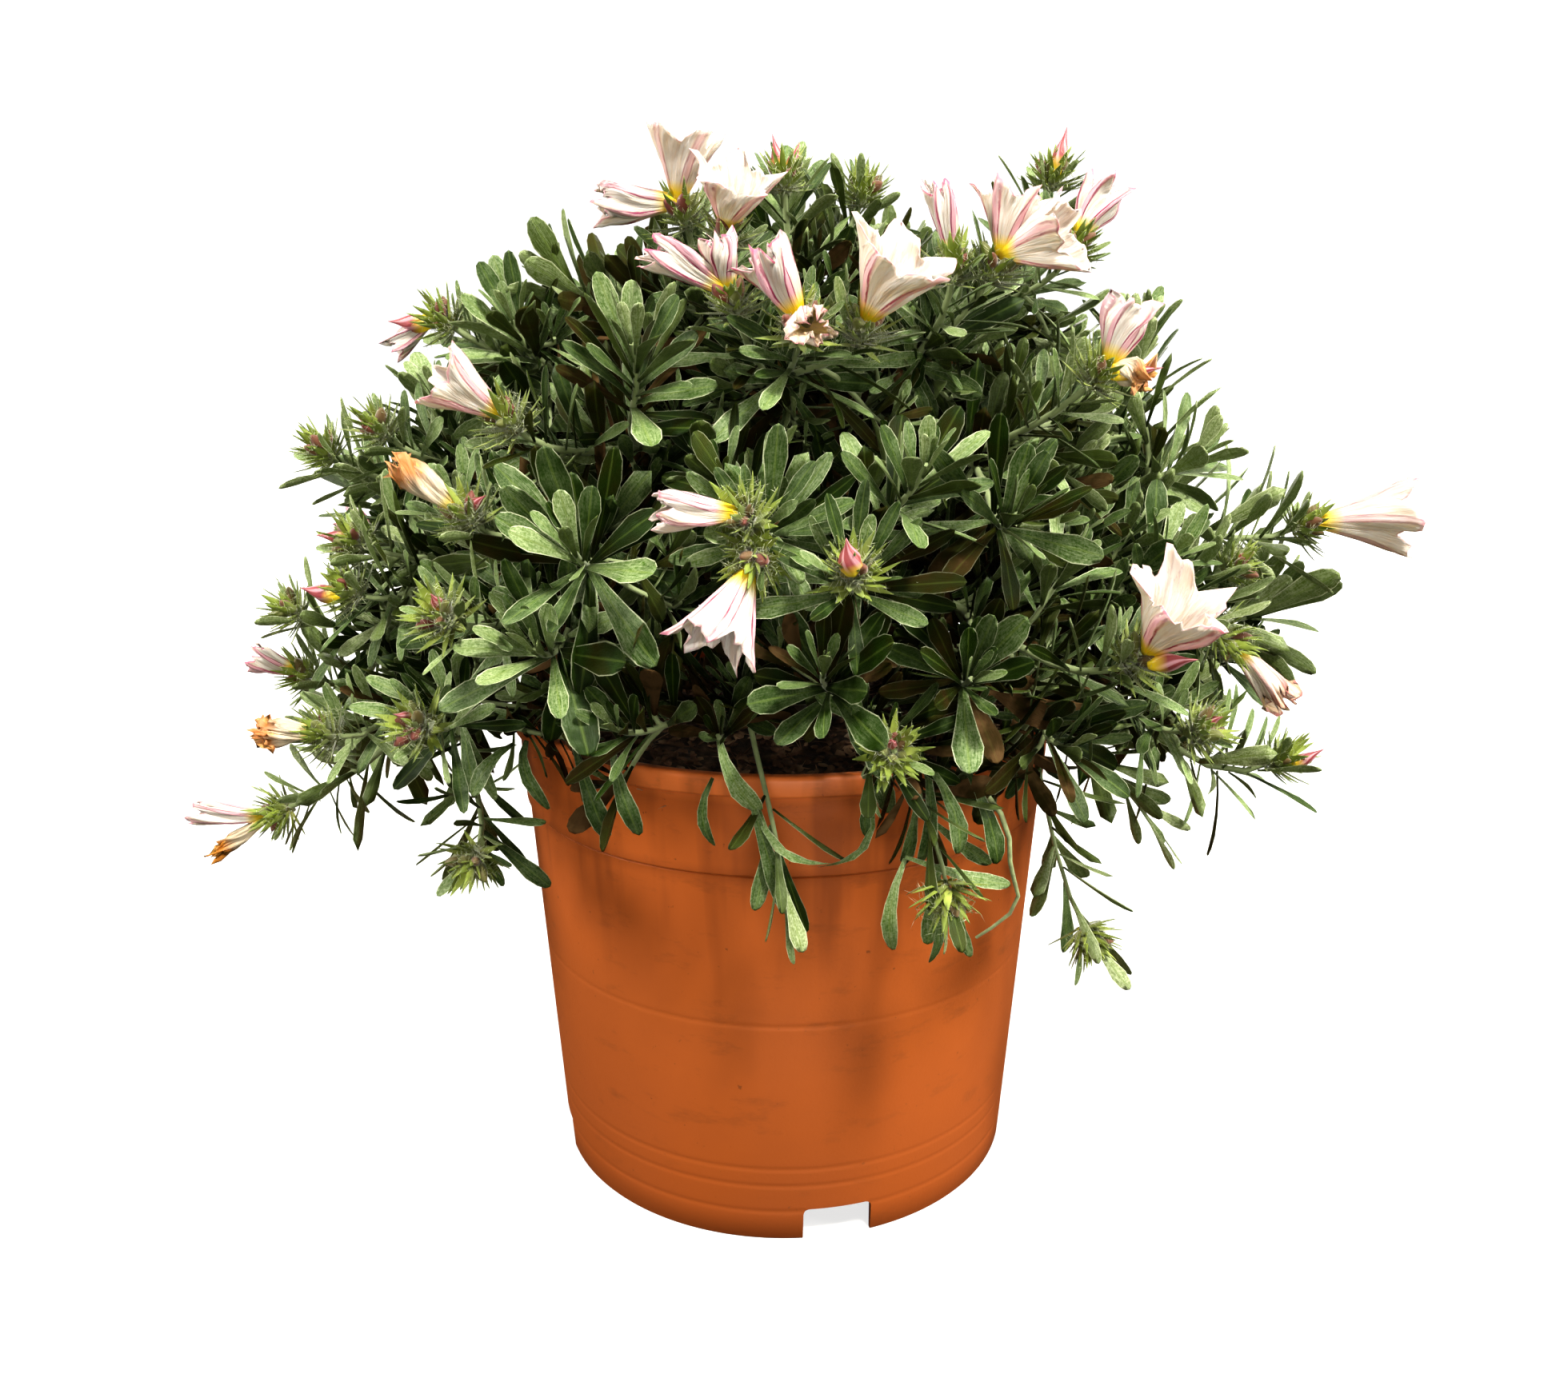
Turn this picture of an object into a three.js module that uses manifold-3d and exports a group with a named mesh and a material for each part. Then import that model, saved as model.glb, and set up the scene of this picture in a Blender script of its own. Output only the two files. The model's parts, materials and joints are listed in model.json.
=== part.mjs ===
// Potted silverbush: a moulded nursery pot, its soil, a woody crown and leafy sprigs with
// funnel-shaped blooms. Millimetres, +Z up, origin on the pot's axis where the pot stands.
import * as THREE from 'three';
import { mergeVertices } from 'three/addons/utils/BufferGeometryUtils.js';
import Module from 'manifold-3d';

const wasm = await Module();
wasm.setup();

// Gap kept between two pieces that touch.
const seatGap = 0.3;
const leastThickness = 0.2;

// Pot
const rimRadius = 95;
const rimTop = 166;
const rimHeight = 6.5;
const rimBevel = 1.5;
const wallTopRadius = 92.6;
const wallBandRadius = 90.4;
const bandHeight = 133;
const bandStep = 0.7;
const baseRadius = 81.6;
const wallThickness = 1.8;
const floorTop = 14;
const floorThickness = 1.8;
const notchWidth = 23;
const notchHeight = 11.7;
const notchCount = 4;
const firstNotchAngle = -77.5;
const notchCutDepth = 30;
const drainRadius = 5;
const drainCircle = 60;
const drainSides = 8;
const potSides = 30;

// Soil
const soilHeight = 157;
const soilMound = 2;
const soilShoulderRadius = 62;
const soilMoundRadius = 30;
const soilRipple = { height: 0.9, xLength: 9, yLength: 7 };

// Crown: the woody trunk, its branches and the old leaves in the shade of the bush
const trunkRadius = 8;
const trunkTopRadius = 4.5;
const trunkTop = 262;
const trunkDepth = 18;
const trunkFlareHeight = 6;
const trunkClearance = 0.5;
const trunkSides = 8;
const crownCentre = new THREE.Vector3(0, 0, 226);
const crownRadii = new THREE.Vector3(68, 60, 46);
const lowestRootSlope = -0.35;
const branchRadius = 2.6;
const branchClimb = 26;
const lowestBranch = 176;
const highestBranch = 256;
const oldLeafWhorls = [{ share: 0.8, tilt: 62, length: 31, slots: 3 }];

// Sprigs: a main stem, and twigs that fork from it
const heart = new THREE.Vector3(0, 0, 185);
const stemRadius = 1.9;
const twigRadius = 1.25;
const twigFootRadius = 1.45;
const forkRootRadius = 0.8;
const firstFork = 0.22;
const forkStep = 0.12;
const forkLean = 1.1;
const stemSides = 4;
const curveReach = 0.38;
const bloomSway = 1.2;

// Leaves stand in whorls behind each tip, the slots between a stem's corners.
const whorlStep = 1.6;
const whorlTurn = 0.63;
const leafWhorls = [
  { back: 6, tilt: 40, length: 26, slots: 4 },
  { back: 15, tilt: 62, length: 30, slots: 3 },
];
const leafShape = {
  width: 0.235,
  widestAt: 0.62,
  tipWidth: 0.44,
  keel: 0.2,
  rootWidth: 0.12,
  rootKeel: 0.16,
};
const leafVariety = { tilt: 16, swing: 0.35, length: 7, width: 0.04, leastDroop: 0.02, mostDroop: 0.18 };
const bractRadius = 2.5;
const bractLength = 11;
const bractTilt = 55;

const matteGreen = { roughness: 0.75, metalness: 0 };
const paints = {
  pot: { color: 0xb2592a, roughness: 0.55, metalness: 0 },
  soil: { color: 0x2e2119, roughness: 1, metalness: 0 },
  crown: { color: 0x3d3a28, ...matteGreen },
  sprig: { color: 0x55704a, ...matteGreen },
  bloom: { color: 0xf4e6dd, roughness: 0.6, metalness: 0 },
};

// Blooms: direction, length and mouth radius of each. Several on one head share a calyx.
const lobeCount = 5;
const foldCount = 6;
const openForm = {
  foot: 1.7,
  notch: 0.84,
  lip: 0.9,
  throatAt: 0.42,
  throatWidth: 0.4,
  wellAt: 0.36,
  wall: 0.9,
};
const furledForm = { foot: 1.6, pleat: 0.72, waistAt: 0.55, waistWidth: 0.66, twist: 0.45, wellAt: 0.86 };
const witheredForm = { foot: 1.5, dent: 0.25, waistAt: 0.6, waistWidth: 0.6, mouthAt: 0.92 };
const budForm = { foot: 0.6, bellyAt: 0.4, twist: 0.35 };
const bloomFoot = 1.9;
const calyxRadius = 2;
const calyxHeight = 2.6;
const budSink = 0.9;
const budSidestep = 1.3;
const bloomOf = (kind) => (x, y, z, length, radius) => ({
  kind,
  direction: new THREE.Vector3(x, y, z).normalize(),
  length,
  radius,
});
const open = bloomOf('open');
const furled = bloomOf('furled');
const withered = bloomOf('withered');
const bud = bloomOf('bud');

// A head is a twig's tip with its cluster of bracts; a shoot ends in leaves alone.
// Small buds that sit deep in the bracts are part of the sprig.
function head(x, y, z, blooms = [], { buds = [], aim = null } = {}) {
  return { at: new THREE.Vector3(x, y, z), blooms, buds, aim, bracts: true };
}

function shoot(x, y, z, aim = null) {
  return { at: new THREE.Vector3(x, y, z), blooms: [], buds: [], aim, bracts: false };
}

const down = (x, y, z) => ({ aim: new THREE.Vector3(x, y, z).normalize() });

const frontSprigs = {
  crest_left: [
    head(-29, -60, 324, [open(0.1, -0.1, 1, 20, 10), furled(-1, -0.1, -0.05, 24, 7)]),
    head(-16, -66, 318, [open(0.2, -0.5, 0.8, 18, 12)]),
    shoot(-67, -40, 305),
  ],
  crest_front: [
    head(-14, -95, 300, [furled(-0.86, -0.1, 0.5, 24, 6), furled(-0.15, -0.2, 1, 15, 5.5)]),
    head(4, -100, 294, [furled(-0.5, -0.15, 0.8, 21, 8), withered(0.3, -0.9, -0.2, 13, 6)]),
    head(21, -98, 293, [open(0.4, -0.35, 0.75, 24, 14)]),
  ],
  crest_back: [
    head(0, -30, 336, [], { buds: [bud(-0.2, 0, 1, 12, 2.2), bud(0.4, 0, 1, 10, 2)] }),
    head(25, -10, 333, [], { buds: [bud(0.1, -0.2, 1, 8, 1.8)] }),
  ],
  crest_right: [
    head(46, -80, 309, [furled(-0.25, -0.1, 1, 21, 4.5)]),
    head(58, -78, 309, [open(0.2, 0.1, 1, 19, 10), open(0.85, -0.45, 0.3, 22, 12)]),
  ],
  top_right: [
    head(85, -10, 338, [bud(0.15, 0, 1, 15, 2.8)]),
    head(87, -40, 316, [furled(0.5, 0.15, 0.9, 20, 8)]),
  ],
  shoulder_right: [
    head(
      86, -90, 281,
      [furled(0.3, 0, 0.95, 20, 8), bud(1, -0.2, 0.18, 14, 2.6), withered(0.9, -0.5, -0.3, 11, 4.5)],
    ),
    shoot(60, -118, 246),
  ],
  shoulder_left: [
    head(-103, -45, 294, [bud(-1, 0, 0.1, 13, 3.2), furled(-0.75, -0.1, -0.6, 17, 4)]),
    shoot(-80, -52, 293),
  ],
  brow_left: [
    head(-75, -95, 269, [open(-0.8, -0.3, 0.5, 21, 9)]),
    shoot(-40, -98, 288),
  ],
  left_high: [
    head(-150, -20, 253),
    head(-126, -40, 262, [], { buds: [bud(-0.85, 0.2, 0.4, 9, 2)] }),
  ],
  left_front: [
    head(-86, -105, 245, [withered(-0.75, -0.2, 0.63, 19, 5)], { buds: [bud(0.8, -0.4, 0.6, 8, 1.8)] }),
    shoot(-54, -122, 237),
  ],
  left_mid: [
    head(-131, -58, 230, [], { buds: [bud(-1, -0.1, 0.15, 11, 2.4)] }),
    head(-132, -65, 216, [bud(-1, -0.1, 0.25, 12, 3.2)]),
  ],
  left_low: [
    head(-164, -20, 178, [furled(-1, 0, 0.3, 16, 5)]),
    head(-161, -34, 203),
    head(-140, -75, 174, [withered(-1, -0.1, 0, 17, 4.5)]),
  ],
  left_belly: [
    head(-91, -118, 220, [], { buds: [bud(-0.2, -0.6, 0.7, 7, 2)] }),
    shoot(-66, -118, 210),
  ],
  left_skirt: [
    head(-170, -40, 134, [furled(-1, -0.05, 0.03, 26, 4.5), withered(-0.8, -0.1, -0.6, 22, 3.4)]),
    head(-102, -110, 187, [], { buds: [bud(-0.5, -0.5, 0.3, 7, 1.8)] }),
    head(-94, -88, 136, [], down(-0.3, -0.8, -0.35)),
  ],
  front_high: [
    head(-11, -130, 248, [furled(-1, -0.35, 0.05, 21, 5.5)]),
    head(-8, -134, 236, [open(-0.4, -0.4, -0.8, 25, 11)], down(-0.3, -0.8, -0.5)),
  ],
  front_mid: [
    head(17, -135, 236, [bud(-0.2, -0.4, 0.9, 11, 3.4)]),
    shoot(36, -120, 259),
  ],
  front_low: [
    head(29, -127, 185, [], { buds: [bud(0, -0.8, 0.4, 6, 1.6)] }),
    head(46, -119, 138, [], down(0.15, -0.25, -0.95)),
    shoot(10, -130, 207),
  ],
  front_left_low: [
    shoot(-18, -112, 184),
    shoot(0, -113, 138, down(0.1, -0.2, -0.97).aim),
    shoot(-45, -118, 188),
  ],
  right_front: [
    head(95, -115, 208, [open(0.3, -0.45, 0.75, 24, 14), bud(0.95, -0.3, 0.2, 13, 3)]),
    shoot(49, -125, 204),
    shoot(80, -108, 180),
  ],
  right_high: [
    head(167, -35, 231, [open(1, -0.15, 0.03, 32, 12)]),
    shoot(132, -34, 254),
    shoot(114, -24, 290),
  ],
  right_mid: [
    head(134, -70, 200, [furled(0.6, -0.1, -0.75, 24, 5)]),
    head(142, -48, 220, [], { buds: [bud(0.4, -0.6, 0.5, 7, 2)] }),
    shoot(166, -16, 200),
  ],
  right_low: [
    head(158, -58, 160, [bud(0.8, -0.2, 0.55, 12, 2.3)]),
    head(123, -88, 179, [], { buds: [bud(0.5, -0.5, 0.4, 7, 1.8)] }),
  ],
  right_skirt: [
    head(97, -75, 104, [], { ...down(0.45, -0.3, -0.7), buds: [bud(0.3, 0, -0.9, 7, 1.8)] }),
    shoot(120, -52, 134, down(0.5, -0.2, -0.8).aim),
  ],
};

// The far half of the bush repeats the near half's make-up by a rule.
const backSprigCount = 6;
const backStart = 8;
const backSpan = 164;
const backSeed = 400;
const backVariety = { turn: 4, radius: 10, height: 12 };
const backTiers = [
  { radius: 134, height: 208, turn: -8 },
  { radius: 136, height: 150, turn: 8 },
  { radius: 105, height: 270, turn: 6 },
  { radius: 123, height: 240, turn: 14 },
  { radius: 137, height: 180, turn: -14 },
];
const backStretch = 1.15;
const backBloomTiers = { 1: 0, 3: 2, 5: 0 };

// Small repeatable pseudo-random stream for one seed.
function randomStream(seed) {
  let state = seed >>> 0;
  return () => {
    state = (state + 0x6d2b79f5) >>> 0;
    let mixed = Math.imul(state ^ (state >>> 15), state | 1);
    mixed ^= mixed + Math.imul(mixed ^ (mixed >>> 7), mixed | 61);
    return ((mixed ^ (mixed >>> 14)) >>> 0) / 4294967296;
  };
}

const along = (origin, direction, distance) => origin.clone().addScaledVector(direction, distance);

// Two unit vectors square to a direction, the first as near as can be to the reference.
function crossAxes(direction, reference) {
  const first = reference.clone().addScaledVector(direction, -reference.dot(direction)).normalize();
  const second = direction.clone().cross(first);
  return [first, second];
}

const across = new THREE.Vector3(1, 0, 0);
const upright = new THREE.Vector3(0, 0, 1);

// An upright reference for directions that lean, a sideways one for those that don't.
function steadyReference(direction) {
  return Math.abs(direction.z) > 0.8 ? across : upright;
}

// Closed solid through rings of equal point count, with flat or pointed ends.
function loft(rings, startPoint = null, endPoint = null) {
  const count = rings[0].length;
  const points = rings.flat();
  const triangles = [];
  for (let ring = 0; ring + 1 < rings.length; ring += 1) {
    for (let j = 0; j < count; j += 1) {
      const a = ring * count + j;
      const b = ring * count + ((j + 1) % count);
      triangles.push(a, b, b + count, a, b + count, a + count);
    }
  }
  const last = (rings.length - 1) * count;
  if (startPoint) {
    points.push(startPoint);
    for (let j = 0; j < count; j += 1) {
      triangles.push(points.length - 1, (j + 1) % count, j);
    }
  } else {
    for (let j = 1; j + 1 < count; j += 1) {
      triangles.push(0, j + 1, j);
    }
  }
  if (endPoint) {
    points.push(endPoint);
    for (let j = 0; j < count; j += 1) {
      triangles.push(points.length - 1, last + j, last + ((j + 1) % count));
    }
  } else {
    for (let j = 1; j + 1 < count; j += 1) {
      triangles.push(last, last + j, last + j + 1);
    }
  }
  return solidOf(points.flatMap((point) => point.toArray()), triangles);
}

function solidOf(positions, triangles) {
  return new wasm.Manifold(
    new wasm.Mesh({
      numProp: 3,
      vertProperties: new Float32Array(positions),
      triVerts: new Uint32Array(triangles),
    }),
  );
}

// A three.js geometry with its shared corners merged, as a solid.
function solidOfGeometry(source) {
  const bare = source.clone();
  bare.deleteAttribute('normal');
  bare.deleteAttribute('uv');
  const merged = mergeVertices(bare, 1e-4);
  const corners = merged.index.array;
  const triangles = [];
  for (let i = 0; i < corners.length; i += 3) {
    const [a, b, c] = [corners[i], corners[i + 1], corners[i + 2]];
    if (a !== b && b !== c && c !== a) {
      triangles.push(a, b, c);
    }
  }
  return solidOf(merged.attributes.position.array, triangles);
}

function ringAround(centre, direction, reference, radius, sides, turn = 0) {
  const [first, second] = crossAxes(direction, reference);
  return Array.from({ length: sides }, (_, j) => {
    const angle = turn + (j / sides) * Math.PI * 2;
    const reach = typeof radius === 'function' ? radius(j) : radius;
    return along(centre, first, reach * Math.cos(angle)).addScaledVector(second, reach * Math.sin(angle));
  });
}

function prism(from, to, radius, sides) {
  const direction = to.clone().sub(from).normalize();
  const reference = steadyReference(direction);
  return loft([
    ringAround(from, direction, reference, radius, sides),
    ringAround(to, direction, reference, radius, sides),
  ]);
}

// Pot: one wall from the floor over the rim down to the foot, turned round the axis
function wallRadius(height) {
  return THREE.MathUtils.mapLinear(height, 0, bandHeight, baseRadius, wallBandRadius);
}

function innerRadius(height) {
  return wallRadius(height) - wallThickness;
}

function turned(profile) {
  const lathe = new THREE.LatheGeometry(profile.map(([r, z]) => new THREE.Vector2(r, z)), potSides);
  lathe.rotateX(Math.PI / 2);
  return solidOfGeometry(lathe);
}

function potSolid() {
  const rimBottom = rimTop - rimHeight;
  const skirtInner = baseRadius - wallThickness;
  const underside = floorTop - floorThickness;
  let pot = turned([
    [0, underside],
    [skirtInner, underside],
    [skirtInner, 0],
    [baseRadius, 0],
    [wallBandRadius, bandHeight],
    [wallBandRadius + bandStep, bandHeight + bandStep],
    [wallTopRadius, rimBottom],
    [rimRadius, rimBottom],
    [rimRadius, rimTop - rimBevel],
    [rimRadius - rimBevel, rimTop],
    [innerRadius(rimTop), rimTop],
    [innerRadius(floorTop), floorTop],
    [0, floorTop],
  ]);
  for (let k = 0; k < notchCount; k += 1) {
    const angle = THREE.MathUtils.degToRad(firstNotchAngle + (k * 360) / notchCount);
    const notch = new THREE.BoxGeometry(notchCutDepth, notchWidth, 2 * notchHeight);
    notch.translate(baseRadius, 0, 0);
    notch.rotateZ(angle);
    pot = pot.subtract(solidOfGeometry(notch));
    const drain = new THREE.CylinderGeometry(drainRadius, drainRadius, 3 * floorThickness, drainSides);
    drain.rotateX(Math.PI / 2);
    drain.translate(drainCircle * Math.cos(angle), drainCircle * Math.sin(angle), floorTop);
    pot = pot.subtract(solidOfGeometry(drain));
  }
  return pot;
}

// Soil: fills the pot, with a gently uneven top and a plain hole for the trunk
function soilSolid() {
  const bottom = floorTop + seatGap;
  const profile = [
    [0, bottom],
    [innerRadius(bottom) - seatGap, bottom],
    [innerRadius(soilHeight) - seatGap, soilHeight - 1],
    [soilShoulderRadius, soilHeight],
    [soilMoundRadius, soilHeight + soilMound],
    [0, soilHeight + soilMound],
  ];
  const lathe = new THREE.LatheGeometry(profile.map(([r, z]) => new THREE.Vector2(r, z)), potSides);
  lathe.rotateX(Math.PI / 2);
  const places = lathe.attributes.position;
  for (let i = 0; i < places.count; i += 1) {
    const [x, y, z] = [places.getX(i), places.getY(i), places.getZ(i)];
    if (z > soilHeight - 0.5 && Math.hypot(x, y) > 1) {
      const ripple = Math.sin(x / soilRipple.xLength) * Math.cos(y / soilRipple.yLength);
      places.setZ(i, z + soilRipple.height * ripple);
    }
  }
  const hole = prism(
    new THREE.Vector3(0, 0, soilHeight - trunkDepth),
    new THREE.Vector3(0, 0, soilHeight + trunkDepth),
    trunkRadius + trunkClearance,
    trunkSides,
  );
  return solidOfGeometry(lathe).subtract(hole);
}

// The corners of a leaf: narrow at its root, widest past the middle, with a keel beneath for its
// midrib and a blunt tip.
function leafCorners({ base, direction, upper, length, width, droop }, grow = 0) {
  const side = direction.clone().cross(upper);
  const at = (share) =>
    along(base, direction, length * share).addScaledVector(upper, grow - droop * length * share * share);
  const widest = at(leafShape.widestAt);
  const tip = at(1 + grow / length);
  const half = 0.5 * width + grow;
  const halfTip = 0.5 * leafShape.tipWidth * width + grow;
  return {
    left: along(widest, side, half),
    right: along(widest, side, -half),
    keel: along(widest, upper, -leafShape.keel * width - 2 * grow),
    leftTip: along(tip, side, halfTip),
    rightTip: along(tip, side, -halfTip),
  };
}

// A leaf alone, from a share of its length on, as a solid
function leafSolid(leaf, grow = 0, from = 0) {
  const { left, right, keel, leftTip, rightTip } = leafCorners(leaf, grow);
  const { direction, upper, width } = leaf;
  const side = direction.clone().cross(upper);
  const centre = along(leaf.base, direction, leaf.length * from);
  const half = (leafShape.rootWidth + 0.5 * from) * width + grow;
  const root = [
    along(centre, side, half),
    along(centre, upper, -leafShape.rootKeel * width - grow),
    along(centre, side, -half),
  ];
  const underTip = along(leftTip.clone().lerp(rightTip, 0.5), upper, -leastThickness - grow);
  return loft([root, [left, keel, right], [leftTip, underTip, rightTip]]);
}

// A twig's shell: rings of corners joined in bands, closed at both ends. A leaf or a bract may
// stand out of any face of a band.
function shellOf(rings, growths, endPoint = null) {
  const sides = rings[0].length;
  const points = rings.flat();
  const triangles = [];
  const add = (point) => points.push(point) - 1;
  for (let band = 0; band + 1 < rings.length; band += 1) {
    for (let j = 0; j < sides; j += 1) {
      const low = band * sides + j;
      const lowNext = band * sides + ((j + 1) % sides);
      const high = low + sides;
      const highNext = lowNext + sides;
      const growth = growths.get(`${band} ${j}`);
      if (!growth) {
        triangles.push(low, lowNext, highNext, low, highNext, high);
      } else if (growth.spike) {
        const spike = add(growth.spike);
        triangles.push(low, lowNext, spike, lowNext, highNext, spike);
        triangles.push(highNext, high, spike, high, low, spike);
      } else {
        const corners = [growth.left, growth.right, growth.leftTip, growth.rightTip, growth.keel];
        const [left, right, leftTip, rightTip, keel] = corners.map(add);
        const under = [low, lowNext, right, rightTip, leftTip, left];
        under.forEach((corner, k) => triangles.push(keel, corner, under[(k + 1) % under.length]));
        triangles.push(left, leftTip, rightTip, left, rightTip, right);
        triangles.push(high, left, right, high, right, highNext);
        triangles.push(high, low, left, highNext, right, lowNext);
      }
    }
  }
  const last = (rings.length - 1) * sides;
  for (let j = 1; j + 1 < sides; j += 1) {
    triangles.push(0, j + 1, j);
  }
  if (endPoint) {
    const end = add(endPoint);
    for (let j = 0; j < sides; j += 1) {
      triangles.push(end, last + j, last + ((j + 1) % sides));
    }
  } else {
    for (let j = 1; j + 1 < sides; j += 1) {
      triangles.push(last, last + j, last + j + 1);
    }
  }
  return solidOf(points.flatMap((point) => point.toArray()), triangles);
}

// An open bloom: a thin-walled funnel with five shallow lobes
function openBloom(base, { direction, length, radius }) {
  const { foot, notch, lip, throatAt, throatWidth, wellAt, wall } = openForm;
  const reference = steadyReference(direction);
  const lobed = (full, between) => (j) => (j % 2 === 0 ? full : between);
  const mouth = (reach, sink) => {
    const ring = ringAround(base, direction, reference, lobed(reach, notch * reach), 2 * lobeCount);
    return ring.map((point, j) => along(point, direction, length * lobed(1, lip)(j) - sink));
  };
  const throat = along(base, direction, length * throatAt);
  const throatRadius = throatWidth * radius;
  return loft(
    [
      ringAround(base, direction, reference, foot, 2 * lobeCount),
      ringAround(throat, direction, reference, lobed(throatRadius, lip * throatRadius), 2 * lobeCount),
      mouth(radius, 0),
      mouth(radius - wall, seatGap),
    ],
    null,
    along(base, direction, length * wellAt),
  );
}

// A furled bloom: pleated lengthwise and twisted, its crumpled mouth drawn in
function furledBloom(base, { direction, length, radius }) {
  const { foot, pleat, waistAt, waistWidth, twist, wellAt } = furledForm;
  const reference = steadyReference(direction);
  const pleated = (reach) => (j) => (j % 2 === 0 ? reach : pleat * reach);
  const ring = (share, reach, turn) =>
    ringAround(along(base, direction, length * share), direction, reference, pleated(reach), foldCount, turn);
  return loft(
    [ring(0, foot, 0), ring(waistAt, waistWidth * radius, 0.5 * twist), ring(1, radius, twist)],
    null,
    along(base, direction, length * wellAt),
  );
}

// A withered bloom: a shrunken, dented tube
function witheredBloom(base, { direction, length, radius }) {
  const { foot, dent, waistAt, waistWidth, mouthAt } = witheredForm;
  const reference = steadyReference(direction);
  const dented = (reach, phase) => (j) => reach * (1 + dent * Math.sin(2.3 * j + phase));
  const ring = (share, reach, phase) =>
    ringAround(along(base, direction, length * share), direction, reference, dented(reach, phase), foldCount);
  return loft(
    [ring(0, foot, 0), ring(waistAt, waistWidth * radius, 1), ring(mouthAt, radius, 2.5)],
    null,
    along(base, direction, length),
  );
}

// A bud: a slim pointed spindle, twisted as it is rolled
function budBloom(base, { direction, length, radius }) {
  const { foot, bellyAt, twist } = budForm;
  const reference = steadyReference(direction);
  const ring = (share, reach, turn) =>
    ringAround(along(base, direction, length * share), direction, reference, reach, lobeCount, turn);
  return loft(
    [ring(0, foot * radius, 0), ring(bellyAt, radius, twist)],
    null,
    along(base, direction, length),
  );
}

const bloomSolids = { open: openBloom, furled: furledBloom, withered: witheredBloom, bud: budBloom };

// The way a head faces: outward from the heart of the bush, swayed by its blooms.
function headAim({ at, blooms, aim }) {
  if (aim) {
    return aim.clone();
  }
  const outward = at.clone().sub(heart).normalize();
  const sway = blooms.reduce((sum, bloom) => sum.add(bloom.direction), new THREE.Vector3());
  return outward.addScaledVector(sway, bloomSway / Math.max(blooms.length, 1)).normalize();
}

// A stem's smooth path, and the shares of it where the stem made along it bends
function pathBetween(start, startDirection, tip, aim, bendCount) {
  const reach = start.distanceTo(tip) * curveReach;
  const curve = new THREE.CubicBezierCurve3(
    start.clone(),
    along(start, startDirection, reach),
    along(tip, aim, -reach),
    tip.clone(),
  );
  const sideways = startDirection.clone().cross(aim);
  const reference = sideways.length() > 0.15 ? sideways.normalize() : steadyReference(startDirection);
  const length = curve.getLength();
  const bare = 1 - leafWhorls.at(-1).back / length;
  const bends = Array.from({ length: bendCount + 2 }, (_, k) => (k * bare) / (bendCount + 1));
  return { curve, reference, length, bends };
}

// Point of a bare stem, which runs straight from bend to bend
function stemPoint({ curve, bends }, share) {
  const next = bends.findIndex((bend) => bend >= share);
  const [low, high] = [bends[next - 1], bends[next]];
  return curve.getPoint(low).lerp(curve.getPoint(high), (share - low) / (high - low));
}

// The rings of a twig from its start to its tip, with the whorls of leaves and bracts marked
function twigRings({ path, at, aim, bracts, number }, main) {
  const { curve, reference, length, bends } = path;
  const startRadius = main ? stemRadius : twigFootRadius;
  const rings = [];
  const whorls = [];
  const ring = (centre, direction, radius, turn) =>
    rings.push(ringAround(centre, direction, reference, radius, stemSides, turn));
  ring(curve.v0, curve.getTangent(0), main ? startRadius : forkRootRadius, 0);
  for (const share of bends.slice(1, -1)) {
    const radius = THREE.MathUtils.lerp(startRadius, twigRadius, share);
    ring(curve.getPoint(share), curve.getTangent(share), radius, 0);
  }
  const stations = leafWhorls
    .map((whorl, order) => ({ ...whorl, order, share: 1 - whorl.back / length }))
    .reverse();
  for (const { share, order, ...whorl } of stations) {
    const centre = curve.getPoint(share);
    const tangent = curve.getTangent(share);
    const turn = order * whorlTurn + 0.5 * randomStream(number * 13 + order)();
    ring(centre, tangent, twigRadius, turn);
    ring(along(centre, tangent, whorlStep), tangent, twigRadius, turn);
    whorls.push({ ...whorl, kind: 'leaves', order, band: rings.length - 2, centre, tangent, turn });
  }
  if (bracts) {
    const { turn } = whorls.at(-1);
    ring(at, aim, bractRadius, turn);
    whorls.push({ kind: 'bracts', band: rings.length - 2, centre: along(at, aim, -1), tangent: aim, turn });
  }
  return { rings, whorls };
}

// The way out of a whorl between two of its corners, tilted from the stem's own way
function slotAxes({ tangent, turn }, reference, slot, tilt, shift) {
  const [first, second] = crossAxes(tangent, reference);
  const angle = turn + ((slot + 0.5) / stemSides) * Math.PI * 2 + shift;
  const outward = first.multiplyScalar(Math.cos(angle)).addScaledVector(second, Math.sin(angle));
  const direction = tangent.clone().multiplyScalar(Math.cos(tilt)).addScaledVector(outward, Math.sin(tilt));
  const upper = tangent.clone().multiplyScalar(Math.sin(tilt)).addScaledVector(outward, -Math.cos(tilt));
  return { direction, upper, outward };
}

// One leaf of a whorl, with its own small differences, shifted or spread when its place is taken
function leafPlace(whorl, reference, number, slot, [shift, spread]) {
  const random = randomStream(number * 1009 + whorl.order * 101 + slot * 7);
  const vary = (range) => range * (random() - 0.5);
  const tilt = THREE.MathUtils.degToRad(whorl.tilt + vary(leafVariety.tilt)) + spread;
  const swing = vary(leafVariety.swing) + shift;
  const { direction, upper, outward } = slotAxes(whorl, reference, slot, tilt, swing);
  const length = whorl.length + vary(leafVariety.length);
  return {
    base: along(whorl.centre, whorl.tangent, 0.5 * whorlStep).addScaledVector(outward, 0.7 * twigRadius),
    direction,
    upper,
    length,
    width: length * (leafShape.width + vary(leafVariety.width)),
    droop: THREE.MathUtils.lerp(leafVariety.leastDroop, leafVariety.mostDroop, random()),
  };
}

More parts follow.
